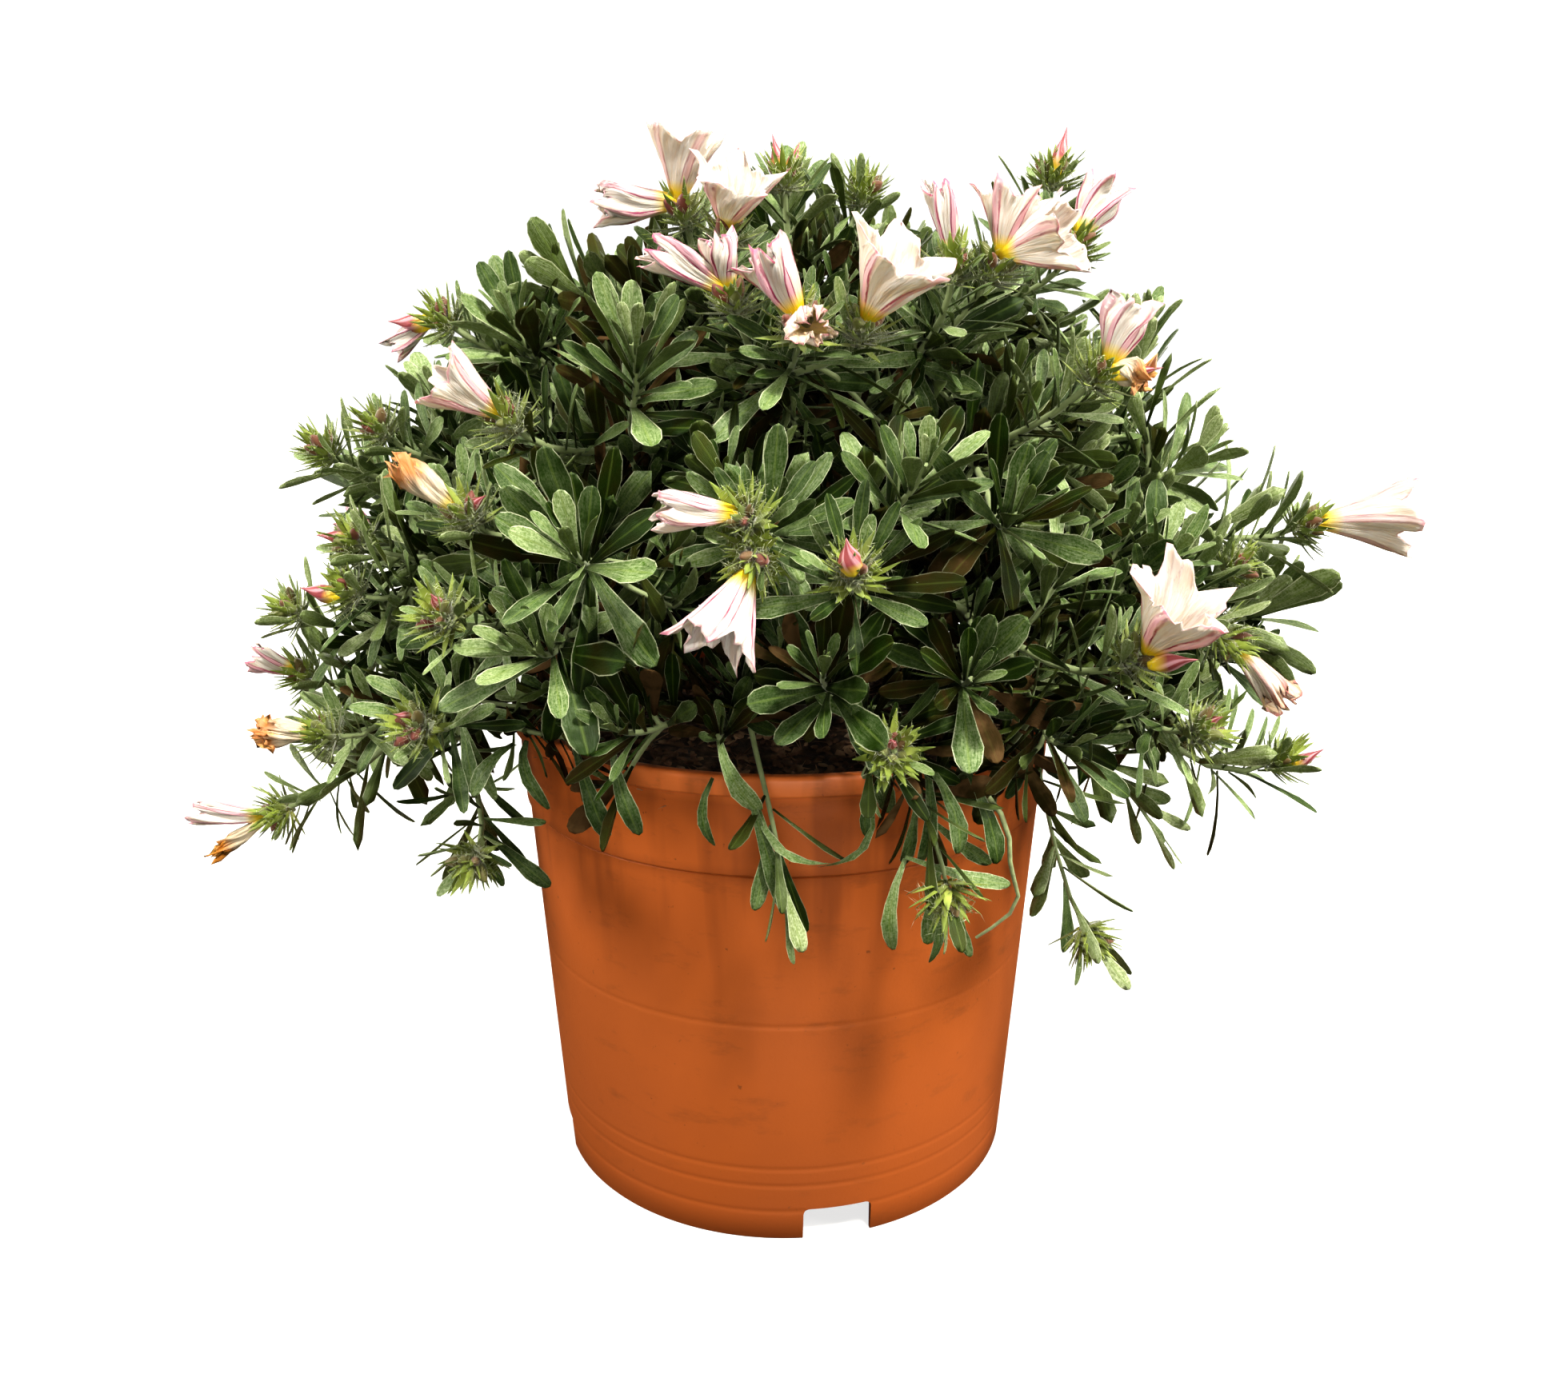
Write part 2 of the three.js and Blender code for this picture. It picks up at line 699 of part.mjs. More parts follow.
// The sprigs of the far half: the tiers of each lie round one azimuth.
function backSprigs() {
  const sprigs = { back_top: [head(-38, 58, 314), shoot(40, 54, 312), shoot(2, 22, 335)] };
  for (let k = 0; k < backSprigCount; k += 1) {
    const random = randomStream(backSeed + k);
    const vary = (range) => range * (random() - 0.5);
    const azimuth = backStart + (k * backSpan) / (backSprigCount - 1);
    sprigs[`back_${k + 1}`] = backTiers.map(({ radius, height, turn }, tier) => {
      const angle = THREE.MathUtils.degToRad(azimuth + turn + vary(backVariety.turn));
      const reach = radius + vary(backVariety.radius);
      const place = [
        backStretch * reach * Math.cos(angle),
        reach * Math.sin(angle),
        height + vary(backVariety.height),
      ];
      const blooms = backBloomTiers[k] === tier ? [furled(Math.cos(angle), Math.sin(angle), 0.6, 21, 7)] : [];
      return tier === 0 || blooms.length ? head(...place, blooms) : shoot(...place);
    });
  }
  return sprigs;
}

// Where a sprig leaves its branch: on a rounded surface inside the bush, toward its heads
function branchTo(heads) {
  const middle = heads.reduce((sum, { at }) => sum.add(at), new THREE.Vector3());
  const toward = middle.divideScalar(heads.length).sub(crownCentre).normalize();
  toward.z = Math.max(toward.z, lowestRootSlope);
  const end = along(crownCentre, toward, 1 / toward.clone().divide(crownRadii).length());
  const middleHeight = 0.5 * (end.z + crownCentre.z);
  const rise = THREE.MathUtils.clamp(middleHeight - branchClimb, lowestBranch, highestBranch);
  const start = new THREE.Vector3(0, 0, rise);
  return { start, end, direction: end.clone().sub(start).normalize() };
}

// A sprig's twigs: the first is the main stem, and the others fork from it.
function sprigPlan(name, heads, number) {
  const branch = branchTo(heads);
  const plan = { name, branch, twigs: [], number };
  heads.forEach((item, index) => {
    const aim = headAim(item);
    const main = plan.twigs[0];
    const fork = firstFork + forkStep * index;
    const start = main ? stemPoint(main.path, fork) : along(branch.end, branch.direction, seatGap);
    const toTip = item.at.clone().sub(start).normalize();
    const lead = main
      ? main.path.curve.getTangent(fork).addScaledVector(toTip, forkLean).normalize()
      : branch.direction;
    const path = pathBetween(start, lead, item.at, aim, main ? 0 : 1);
    plan.twigs.push({ ...item, aim, path, number: number * 10 + index });
  });
  return plan;
}

const plans = Object.entries({ ...frontSprigs, ...backSprigs() }).map(([name, heads], number) =>
  sprigPlan(name, heads, number + 1),
);

// Solids laid so far, by node, with the room that each takes up. What a node is joined from in the
// end is given by `finished`: a stem is made anew with all that has grown out of it, and a leaf or
// a bract is laid only to keep its room.
const laid = new Map();

function boxOf(solid) {
  const { min, max } = solid.boundingBox();
  return new THREE.Box3(new THREE.Vector3(...min), new THREE.Vector3(...max));
}

function lay(node, solid, finished = () => solid) {
  if (!laid.has(node)) {
    laid.set(node, []);
  }
  laid.get(node).push({ solid, box: boxOf(solid), finished });
}

function layStem(node, rings, growths, endPoint = null) {
  lay(node, shellOf(rings, growths, endPoint), () => shellOf(rings, growths, endPoint));
}

function keepRoom(node, solid) {
  lay(node, solid, null);
}

function crosses(solid, isRival) {
  const box = boxOf(solid);
  for (const [node, pieces] of laid) {
    if (!isRival(node)) {
      continue;
    }
    for (const piece of pieces) {
      if (piece.box.intersectsBox(box)) {
        const shared = piece.solid.intersect(solid);
        const touching = !shared.isEmpty();
        shared.delete();
        if (touching) {
          return true;
        }
      }
    }
  }
  return false;
}

function layPotAndSoil() {
  lay('pot', potSolid());
  lay('soil', soilSolid());
}

// The crown's branches, each with whorls of old leaves, reach out from the trunk.
function layCrown() {
  const trunk = [
    [soilHeight - trunkDepth + seatGap, trunkRadius],
    [soilHeight + trunkFlareHeight, trunkRadius],
    [trunkTop, trunkTopRadius],
  ].map(([height, radius]) =>
    ringAround(new THREE.Vector3(0, 0, height), upright, across, radius, trunkSides),
  );
  lay('crown', loft(trunk));
  for (const { branch, twigs } of plans) {
    const { start, end, direction } = branch;
    const { reference } = twigs[0].path;
    const ring = (centre, radius, turn = 0) =>
      ringAround(centre, direction, reference, radius, stemSides, turn);
    branch.rings = [ring(start, branchRadius)];
    branch.whorls = oldLeafWhorls.map(({ share, ...whorl }, order) => {
      const centre = start.clone().lerp(end, share);
      const turn = order * 0.8;
      const radius = THREE.MathUtils.lerp(branchRadius, stemRadius, share);
      branch.rings.push(ring(centre, radius, turn), ring(along(centre, direction, whorlStep), radius, turn));
      return { ...whorl, order, band: 1 + 2 * order, centre, tangent: direction, turn };
    });
    branch.rings.push(ring(end, stemRadius));
    branch.growths = new Map();
    layStem('crown', branch.rings, branch.growths);
  }
}

// Each twig's bare shell is laid first, so that later repeats keep clear of it.
function layStems() {
  for (const { name, twigs } of plans) {
    twigs.forEach((twig, index) => {
      Object.assign(twig, twigRings(twig, index === 0), { growths: new Map() });
      layStem(`sprig_${name}`, twig.rings, twig.growths, twig.bracts ? null : twig.at);
      for (const item of twig.buds) {
        const [aside] = crossAxes(twig.aim, item.direction);
        const root = along(along(twig.at, twig.aim, -budSink), aside, budSidestep);
        lay(`sprig_${name}`, budBloom(root, item));
      }
    });
  }
}

function layBlooms() {
  for (const { name, twigs } of plans) {
    twigs
      .filter(({ blooms }) => blooms.length)
      .forEach(({ at, aim, blooms }, index) => {
        const node = `bloom_${name}_${index + 1}`;
        const seat = along(at, aim, seatGap);
        const shared = blooms.length > 1;
        if (shared) {
          lay(node, prism(seat, along(seat, aim, calyxHeight), calyxRadius, 4));
        }
        for (const bloom of blooms) {
          const lift = shared ? 0.6 * calyxHeight : bloomFoot * bloom.direction.clone().cross(aim).length();
          lay(node, bloomSolids[bloom.kind](along(seat, aim, lift), bloom));
        }
      });
  }
}

function bractSpike({ centre, tangent, turn }, reference, slot, tilt, length) {
  const { direction } = slotAxes({ tangent, turn }, reference, slot, tilt, 0);
  return along(centre, direction, length);
}

function layBracts() {
  for (const { name, twigs } of plans) {
    for (const { whorls, path, growths, number } of twigs) {
      for (const whorl of whorls.filter(({ kind }) => kind === 'bracts')) {
        for (let slot = 0; slot < stemSides; slot += 1) {
          const random = randomStream(number * 77 + slot);
          const tilt = THREE.MathUtils.degToRad(bractTilt + 14 * (random() - 0.5));
          const length = bractLength * (0.85 + 0.35 * random());
          const tries = [0, 0.2, 0.4].map((spread) =>
            bractSpike(whorl, path.reference, slot, tilt + spread, length),
          );
          const spike = tries.find((point) => spikeIsClear(`sprig_${name}`, whorl, point));
          if (spike) {
            growths.set(`${whorl.band} ${slot}`, { spike });
          }
        }
      }
    }
  }
}

function spikeIsClear(node, { centre }, point) {
  const direction = point.clone().sub(centre).normalize();
  const ring = ringAround(along(centre, direction, 2), direction, steadyReference(direction), 1.2, 3);
  const spike = loft([ring], null, along(point, direction, 0.3));
  const clear = !crosses(spike, (other) => other !== node);
  if (clear) {
    keepRoom(node, spike);
  }
  return clear;
}

const leafShifts = [
  [0, 0],
  [0.25, 0],
  [-0.25, 0],
  [0, 0.25],
  [0, -0.25],
  [0.4, 0.2],
  [-0.4, 0.2],
  [0.4, -0.2],
  [-0.4, -0.2],
];

// Grows a leaf where its slightly swollen form crosses no other node and its outer part crosses
// nothing of its own, trying its places in turn.
function growLeaf(node, whorl, { path, growths, number }, slot) {
  for (const shift of leafShifts) {
    const leaf = leafPlace(whorl, path.reference, number, slot, shift);
    const swollen = leafSolid(leaf, 0.25);
    const outer = leafSolid(leaf, 0.1, 0.12);
    const blocked = crosses(swollen, (other) => other !== node) || crosses(outer, (other) => other === node);
    swollen.delete();
    outer.delete();
    if (!blocked) {
      growths.set(`${whorl.band} ${slot}`, leafCorners(leaf));
      keepRoom(node, leafSolid(leaf));
      return;
    }
  }
}

function layLeaves() {
  for (let order = 0; order < leafWhorls.length; order += 1) {
    for (const { name, twigs } of plans) {
      for (const twig of twigs) {
        const whorl = twig.whorls.find((item) => item.kind === 'leaves' && item.order === order);
        for (let slot = 0; whorl && slot < whorl.slots; slot += 1) {
          growLeaf(`sprig_${name}`, whorl, twig, slot);
        }
      }
    }
  }
}

function layOldLeaves() {
  for (const { branch, twigs, number } of plans) {
    const stem = { path: twigs[0].path, growths: branch.growths, number: number * 10 + 9 };
    for (const whorl of branch.whorls) {
      for (let slot = 0; slot < whorl.slots; slot += 1) {
        growLeaf('crown', whorl, stem, slot);
      }
    }
  }
}

// One closed body: pieces joined, loose scraps dropped, sealed hollows filled
function joined(solids) {
  const whole = wasm.Manifold.union(solids);
  const bodies = whole.decompose();
  return bodies.reduce((best, body) => (body.volume() > best.volume() ? body : best));
}

function meshOf(name, solid, paint) {
  const { vertProperties, triVerts } = solid.getMesh();
  const geometry = new THREE.BufferGeometry();
  geometry.setAttribute('position', new THREE.BufferAttribute(vertProperties, 3));
  geometry.setIndex(new THREE.BufferAttribute(triVerts, 1));
  geometry.computeVertexNormals();
  const mesh = new THREE.Mesh(geometry, new THREE.MeshStandardMaterial(paint));
  mesh.name = name;
  return mesh;
}

layPotAndSoil();
layCrown();
layStems();
layBlooms();
layBracts();
layLeaves();
layOldLeaves();

const silverbush = new THREE.Group();
for (const [node, pieces] of laid) {
  const solids = pieces.filter(({ finished }) => finished).map(({ finished }) => finished());
  silverbush.add(meshOf(node, joined(solids), paints[node.split('_')[0]]));
}

export default silverbush;
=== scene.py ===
import json
import math

import bpy
import bmesh
from mathutils import Matrix, Vector, noise

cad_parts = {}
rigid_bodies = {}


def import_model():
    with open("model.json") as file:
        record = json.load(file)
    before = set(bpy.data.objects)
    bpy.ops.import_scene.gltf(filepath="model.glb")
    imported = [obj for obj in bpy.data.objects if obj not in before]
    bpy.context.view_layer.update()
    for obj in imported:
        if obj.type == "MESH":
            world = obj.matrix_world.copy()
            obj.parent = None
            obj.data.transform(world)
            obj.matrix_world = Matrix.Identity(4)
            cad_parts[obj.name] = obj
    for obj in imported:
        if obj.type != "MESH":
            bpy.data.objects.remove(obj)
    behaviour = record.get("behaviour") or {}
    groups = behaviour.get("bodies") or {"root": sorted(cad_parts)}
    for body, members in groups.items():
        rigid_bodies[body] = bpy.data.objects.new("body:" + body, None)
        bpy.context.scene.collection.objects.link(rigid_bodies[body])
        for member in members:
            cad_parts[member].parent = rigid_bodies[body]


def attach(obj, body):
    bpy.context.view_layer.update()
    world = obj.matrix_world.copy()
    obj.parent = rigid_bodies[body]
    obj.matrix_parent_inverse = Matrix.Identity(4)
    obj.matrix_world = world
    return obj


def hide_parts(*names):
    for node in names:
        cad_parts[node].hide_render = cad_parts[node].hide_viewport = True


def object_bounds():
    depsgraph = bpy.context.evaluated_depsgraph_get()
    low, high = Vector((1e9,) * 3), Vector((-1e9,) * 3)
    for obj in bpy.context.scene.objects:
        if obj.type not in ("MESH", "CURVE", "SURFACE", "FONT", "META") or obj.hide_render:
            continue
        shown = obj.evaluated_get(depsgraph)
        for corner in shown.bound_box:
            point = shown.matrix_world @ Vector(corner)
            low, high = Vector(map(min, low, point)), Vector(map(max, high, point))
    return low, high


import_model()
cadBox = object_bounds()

mm = 0.001
upright = Vector((0, 0, 1))
across = Vector((1, 0, 0))
goldenAngle = math.radians(137.5)
scene = bpy.context.scene


def mix(low, high, share):
    return low + (high - low) * share


def clamp(value, low=0.0, high=1.0):
    return max(low, min(high, value))


# the same small random stream as the CAD source, so both grow the same bush
def randomStream(seed):
    mask = 0xFFFFFFFF
    state = seed & mask

    def draw():
        nonlocal state
        state = (state + 0x6D2B79F5) & mask
        mixed = ((state ^ (state >> 15)) * (state | 1)) & mask
        mixed ^= (mixed + (((mixed ^ (mixed >> 7)) * (mixed | 61)) & mask)) & mask
        return ((mixed ^ (mixed >> 14)) & mask) / 4294967296

    return draw


# camera at the photo's angle
cameraSettings = {"distance": 475, "height": 300, "pitch": 0.275, "lens": 31.96, "sensor": 36}


def placeCamera(c):
    data = bpy.data.cameras.new("camera")
    data.lens = c["lens"]
    data.sensor_width = c["sensor"]
    data.clip_start = 0.01
    camera = bpy.data.objects.new("camera", data)
    camera.location = (0, -c["distance"] * mm, c["height"] * mm)
    camera.rotation_euler = (math.pi / 2 - c["pitch"], 0, 0)
    scene.collection.objects.link(camera)
    scene.camera = camera


placeCamera(cameraSettings)
print("camera placed")


# one node tree: a value given to a node is a number, a colour or another node's output
class Wiring:
    def __init__(self, tree):
        self.tree = tree

    def feed(self, socket, value):
        if isinstance(value, bpy.types.NodeSocket):
            self.tree.links.new(value, socket)
        elif socket.type == "RGBA":
            socket.default_value = (*value, 1)
        else:
            socket.default_value = value

    def add(self, kind, inputs=None, **options):
        node = self.tree.nodes.new(kind)
        for option, value in options.items():
            setattr(node, option, value)
        for key, value in (inputs or {}).items():
            self.feed(node.inputs[key], value)
        return node.outputs

    def math(self, operation, *values, limit=False):
        return self.add("ShaderNodeMath", dict(enumerate(values)), operation=operation, use_clamp=limit)[0]

    def times(self, first, second, limit=False):
        return self.math("MULTIPLY", first, second, limit=limit)

    def scaled(self, value, scale, shift, limit=False):
        return self.math("MULTIPLY_ADD", value, scale, shift, limit=limit)

    def varied(self, value, pattern, spread):
        return self.math("ADD", value, self.scaled(pattern, spread, -spread / 2))

    def blend(self, factor, first, second):
        return self.add("ShaderNodeMix", {0: factor, 6: first, 7: second}, data_type="RGBA")[2]

    def ramp(self, source, stops):
        node = self.tree.nodes.new("ShaderNodeValToRGB")
        ramp = node.color_ramp.elements
        while len(ramp) < len(stops):
            ramp.new(0.5)
        for element, (place, colour) in zip(ramp, stops):
            element.position = place
            element.color = (*colour, 1) if isinstance(colour, tuple) else (colour, colour, colour, 1)
        self.feed(node.inputs["Fac"], source)
        return node.outputs["Color"]

    def apart(self, vector):
        return tuple(self.add("ShaderNodeSeparateXYZ", {"Vector": vector}))

    def together(self, *parts):
        return self.add("ShaderNodeCombineXYZ", dict(enumerate(parts)))["Vector"]


# a material's nodes; patterns read the object's own coordinates
class Paint(Wiring):
    def __init__(self, name):
        self.material = bpy.data.materials.new(name)
        self.material.use_nodes = True
        super().__init__(self.material.node_tree)
        self.shader = self.tree.nodes["Principled BSDF"]
        self.place = self.add("ShaderNodeTexCoord")["Object"]

    def attribute(self, name):
        return self.add("ShaderNodeAttribute", attribute_name=name)["Fac"]

    def uvParts(self):
        return self.apart(self.add("ShaderNodeUVMap", uv_map="UVMap")["UV"])[:2]

    def noise(self, scale, detail, roughness=0.5, at=None, stretch=None):
        place = self.place if at is None else at
        if stretch:
            place = self.add("ShaderNodeMapping", {"Vector": place, "Scale": stretch})["Vector"]
        inputs = {"Vector": place, "Scale": scale, "Detail": detail, "Roughness": roughness}
        return self.add("ShaderNodeTexNoise", inputs)["Fac"]

    def bump(self, height, strength, distance):
        inputs = {"Height": height, "Strength": strength, "Distance": distance}
        return self.add("ShaderNodeBump", inputs)["Normal"]

    def finish(self, inputs):
        for key, value in inputs.items():
            self.feed(self.shader.inputs[key], value)
        return self.material


# leaf: green by tone, silky hairs in fine lengthwise strokes whose silver is partly their own colour and
# partly a painted sheen, a pale midrib and a thin cream margin
leafFinish = {
    "tones": [
        (0.0, (0.098, 0.058, 0.026)),
        (0.07, (0.040, 0.026, 0.010)),
        (0.17, (0.022, 0.020, 0.003)),
        (0.34, (0.010, 0.023, 0.001)),
        (0.56, (0.021, 0.056, 0.001)),
        (0.78, (0.048, 0.112, 0.004)),
        (1.0, (0.105, 0.185, 0.020)),
    ],
    "silverAndSheen": (0.62, 0.69, 0.43),
    "under": (0.15, 0.18, 0.045),
    "margin": (0.76, 0.79, 0.55),
    "midrib": (0.17, 0.24, 0.05),
}


def leafMaterial(s):
    paint = Paint("silkyLeaf")
    u, v = paint.uvParts()
    tone = paint.attribute("tone")
    toned = paint.varied(tone, paint.noise(130, 3), 0.5)
    colour = paint.ramp(toned, s["tones"])
    under = paint.math("GREATER_THAN", u, 1.5)
    side = paint.math("FRACT", u)
    off = paint.math("ABSOLUTE", paint.math("SUBTRACT", side, 0.5))
    # fine lengthwise hairs and veins
    strokes = paint.together(paint.times(side, 20), paint.times(v, 7), paint.times(tone, 90))
    hairs = paint.noise(1.0, 4, 0.7, at=strokes)
    speckle = paint.noise(1500, 2, 0.6)
    # the hairs' own silver, partly a painted sheen, strongest on young, pale leaves
    silkAndSheen = paint.math("ADD", paint.times(hairs, 0.6), paint.times(speckle, 0.4))
    silkAndSheen = paint.ramp(silkAndSheen, [(0.40, 0.0), (0.70, 0.95)])
    silkAndSheen = paint.times(silkAndSheen, paint.scaled(toned, 1.5, -0.60, limit=True))
    paler = paint.times(under, paint.times(tone, 0.6, limit=True))
    colour = paint.blend(paler, colour, s["under"])
    colour = paint.blend(silkAndSheen, colour, s["silverAndSheen"])
    rib = paint.times(paint.ramp(off, [(0.0, 0.8), (0.03, 0.5), (0.07, 0.0)]), tone)
    colour = paint.blend(rib, colour, s["midrib"])
    edge = paint.ramp(paint.varied(off, speckle, 0.05), [(0.0, 0.0), (0.452, 0.0), (0.482, 1.0)])
    edge = paint.times(edge, paint.scaled(tone, 1.0, -0.05, limit=True))
    return paint.finish({
        "Base Color": paint.blend(edge, colour, s["margin"]),
        "Roughness": paint.scaled(hairs, 0.30, 0.26),
        "Specular IOR Level": paint.scaled(toned, 0.55, -0.05, limit=True),  # young leaves shine
        "Normal": paint.bump(hairs, 0.6, 0.0007),
    })


bractFinish = {
    "tones": [
        (0.0, (0.085, 0.065, 0.012)),
        (0.3, (0.120, 0.150, 0.018)),
        (0.65, (0.230, 0.290, 0.045)),
        (1.0, (0.400, 0.450, 0.110)),
    ],
    "base": (0.42, 0.40, 0.05),
    "tip": (0.100, 0.150, 0.035),
}


def bractMaterial(s):
    paint = Paint("hairyBract")
    u, v = paint.uvParts()
    patches = paint.noise(420, 3)
    colour = paint.ramp(paint.varied(paint.attribute("tone"), patches, 0.5), s["tones"])
    colour = paint.blend(paint.ramp(v, [(0.0, 0.7), (0.35, 0.0)]), colour, s["base"])
    colour = paint.blend(paint.ramp(v, [(0.55, 0.0), (1.0, 0.65)]), colour, s["tip"])
    return paint.finish({
        "Base Color": colour,
        "Roughness": 0.62,
        "Sheen Weight": 0.25,
        "Sheen Roughness": 0.4,
        "Specular IOR Level": 0.3,
        "Normal": paint.bump(patches, 0.3, 0.0003),
    })


hairFinish = {"dull": (0.42, 0.46, 0.26), "pale": (0.62, 0.64, 0.46)}


def hairMaterial(s):
    paint = Paint("paleHair")
    colour = paint.ramp(paint.noise(300, 1), [(0.3, s["dull"]), (0.7, s["pale"])])
    return paint.finish({"Base Color": colour, "Roughness": 0.45})


stemFinish = {"green": (0.15, 0.20, 0.075), "pale": (0.30, 0.35, 0.17), "woody": (0.085, 0.058, 0.034)}


def stemMaterial(s):
    paint = Paint("greenStem")
    grain = paint.noise(300, 4, 0.6)
    young = paint.blend(grain, s["green"], s["pale"])
    ripe = paint.ramp(paint.varied(paint.attribute("tone"), grain, 0.4), [(0.3, 0.0), (0.6, 1.0)])
    return paint.finish({
        "Base Color": paint.blend(ripe, s["woody"], young),
        "Roughness": 0.68,
        "Sheen Weight": 0.2,
        "Normal": paint.bump(grain, 0.4, 0.0006),
    })


knobTones = [(0.0, (0.15, 0.026, 0.018)), (0.35, (0.13, 0.055, 0.018)), (0.7, (0.11, 0.120, 0.022))]


def knobMaterial(tones):
    paint = Paint("smallKnob")
    shade = paint.varied(paint.attribute("tone"), paint.noise(500, 3), 0.4)
    return paint.finish({"Base Color": paint.ramp(shade, tones), "Roughness": 0.6, "Sheen Weight": 0.4})


leafMat = leafMaterial(leafFinish)
bractMat = bractMaterial(bractFinish)
hairMat = hairMaterial(hairFinish)
stemMat = stemMaterial(stemFinish)
knobMat = knobMaterial(knobTones)
print("foliage materials ready")


def wrap(mesh, corners):  # one list of uv corners for each face
    layer = mesh.uv_layers.new(name="UVMap")
    for loop, corner in zip(layer.data, [corner for face in corners for corner in face]):
        loop.uv = corner


def mark(mesh, name, values, kind="FLOAT"):
    layer = mesh.attributes.new(name, kind, "POINT")
    if kind == "FLOAT_VECTOR":
        layer.data.foreach_set("vector", [part for value in values for part in value])
    else:
        layer.data.foreach_set("value", values)


def shaded(piece, material):
    piece.data.materials.append(material)
    piece.data.shade_smooth()
    return piece


# shapes that repeat: length 1 along Z, breadth 1 along X, upper face towards +Y
def bladeShape(name, rows, profile, channel, thickness, topPoints, material):
    points = []
    reach = []
    shares = [k / (topPoints - 1) - 0.5 for k in range(topPoints)]
    for share in rows:
        width = profile(share)
        for k in shares:
            rise = channel * width * (2 * k) ** 2 + thickness * (1 - abs(2 * k)) * 0.5
            points.append((k * width, rise, share))
        points.append((0, -thickness * (0.6 + 0.4 * (1 - share)), share))
        reach += [share] * (topPoints + 1)
    ring = topPoints + 1
    points.append((0, channel * 0.2, 1.0))
    reach.append(1.0)
    # the upper face has u from 0 to 1, the lower one from 2 to 3
    turns = [(near + 0.5, far + 0.5) for near, far in zip(shares, shares[1:])]
    turns += [(3.0, 2.5), (2.5, 2.0)]
    faces = []
    corners = []
    for row, (low, high) in enumerate(zip(rows, rows[1:])):
        for k, (uA, uB) in enumerate(turns):
            a = row * ring + k
            b = row * ring + (k + 1) % ring
            faces.append((b, a, a + ring, b + ring))
            corners.append([(uB, low), (uA, low), (uA, high), (uB, high)])
    last = (len(rows) - 1) * ring
    for k in range(ring):
        faces.append((last + (k + 1) % ring, last + k, len(points) - 1))
        corners.append([*corners[last - ring + k][:2], (0.5 if k < topPoints - 1 else 2.5, 1)])
    faces.append(tuple(range(ring)))
    corners.append([(0.5, 0)] * ring)
    mesh = bpy.data.meshes.new(name)
    mesh.from_pydata(points, [], faces)
    wrap(mesh, corners)
    mark(mesh, "reach", reach)
    rims = {0, topPoints - 1}
    sharp = mesh.attributes.new("sharp_edge", "BOOLEAN", "EDGE")
    sharp.data.foreach_set("value", [
        all(v < last + ring and v % ring in rims for v in edge.vertices) and
        edge.vertices[0] % ring == edge.vertices[1] % ring for edge in mesh.edges])
    return shaded(bpy.data.objects.new(name, mesh), material)


def spatulate(share):  # narrow foot, widest past two thirds, rounded tip
    if share < 0.72:
        return mix(0.22, 1.0, (share / 0.72) ** 1.35)
    return math.sqrt(max(0.0, 1 - ((share - 0.72) / 0.285) ** 2))


def lanceolate(share):
    if share < 0.3:
        return mix(0.45, 1.0, clamp(share / 0.3))
    return 1 - ((share - 0.3) / 0.72) ** 1.6


leafRows = [0, 0.25, 0.5, 0.72, 0.88, 0.97]
leafShape = bladeShape("leafShape", leafRows, spatulate, 0.26, 0.20, 5, leafMat)
oldLeafShape = bladeShape("oldLeafShape", [0, 0.32, 0.62, 0.86], spatulate, 0.28, 0.18, 3, leafMat)
bractShape = bladeShape("bractShape", [0, 0.3, 0.65, 0.9], lanceolate, 0.3, 0.25, 3, bractMat)


# rows of points round Z, joined by faces, from a profile of (radius, height)
def turnRows(shape, profile, sides):
    turns = [2 * math.pi * k / sides for k in range(sides)]
    rows = [[shape.verts.new((r * math.cos(a), r * math.sin(a), z)) for a in turns] for r, z in profile]
    for low, high in zip(rows, rows[1:]):
        for k in range(sides):
            shape.faces.new((low[k], low[(k + 1) % sides], high[(k + 1) % sides], high[k]))
    return rows


def meshFrom(name, shape):
    mesh = bpy.data.meshes.new(name)
    shape.to_mesh(mesh)
    shape.free()
    return bpy.data.objects.new(name, mesh)


def spindleShape(name, profile, sides, material):
    shape = bmesh.new()
    rows = turnRows(shape, profile, sides)
    tip = shape.verts.new((0, 0, 1))
    for k in range(sides):
        shape.faces.new((rows[-1][k], rows[-1][(k + 1) % sides], tip))
    shape.faces.new(list(reversed(rows[0])))
    return shaded(meshFrom(name, shape), material)


knobProfile = [(0.30, 0), (0.48, 0.25), (0.5, 0.5), (0.36, 0.75), (0.16, 0.92)]
hairShape = spindleShape("hairShape", [(1, 0)], 3, hairMat)
knobShape = spindleShape("knobShape", knobProfile, 8, knobMat)
print("leaf, bract, knob and hair shapes ready")


# the plain mesh that a modifier makes of a piece
def plainMesh(piece, modifier):
    graph = bpy.context.evaluated_depsgraph_get()
    mesh = bpy.data.meshes.new_from_object(piece.evaluated_get(graph), depsgraph=graph)
    piece.modifiers.remove(modifier)
    return mesh


def socketKind(value):
    if isinstance(value, bpy.types.Object):
        return "NodeSocketObject"
    return "NodeSocketInt" if isinstance(value, int) else "NodeSocketFloat"


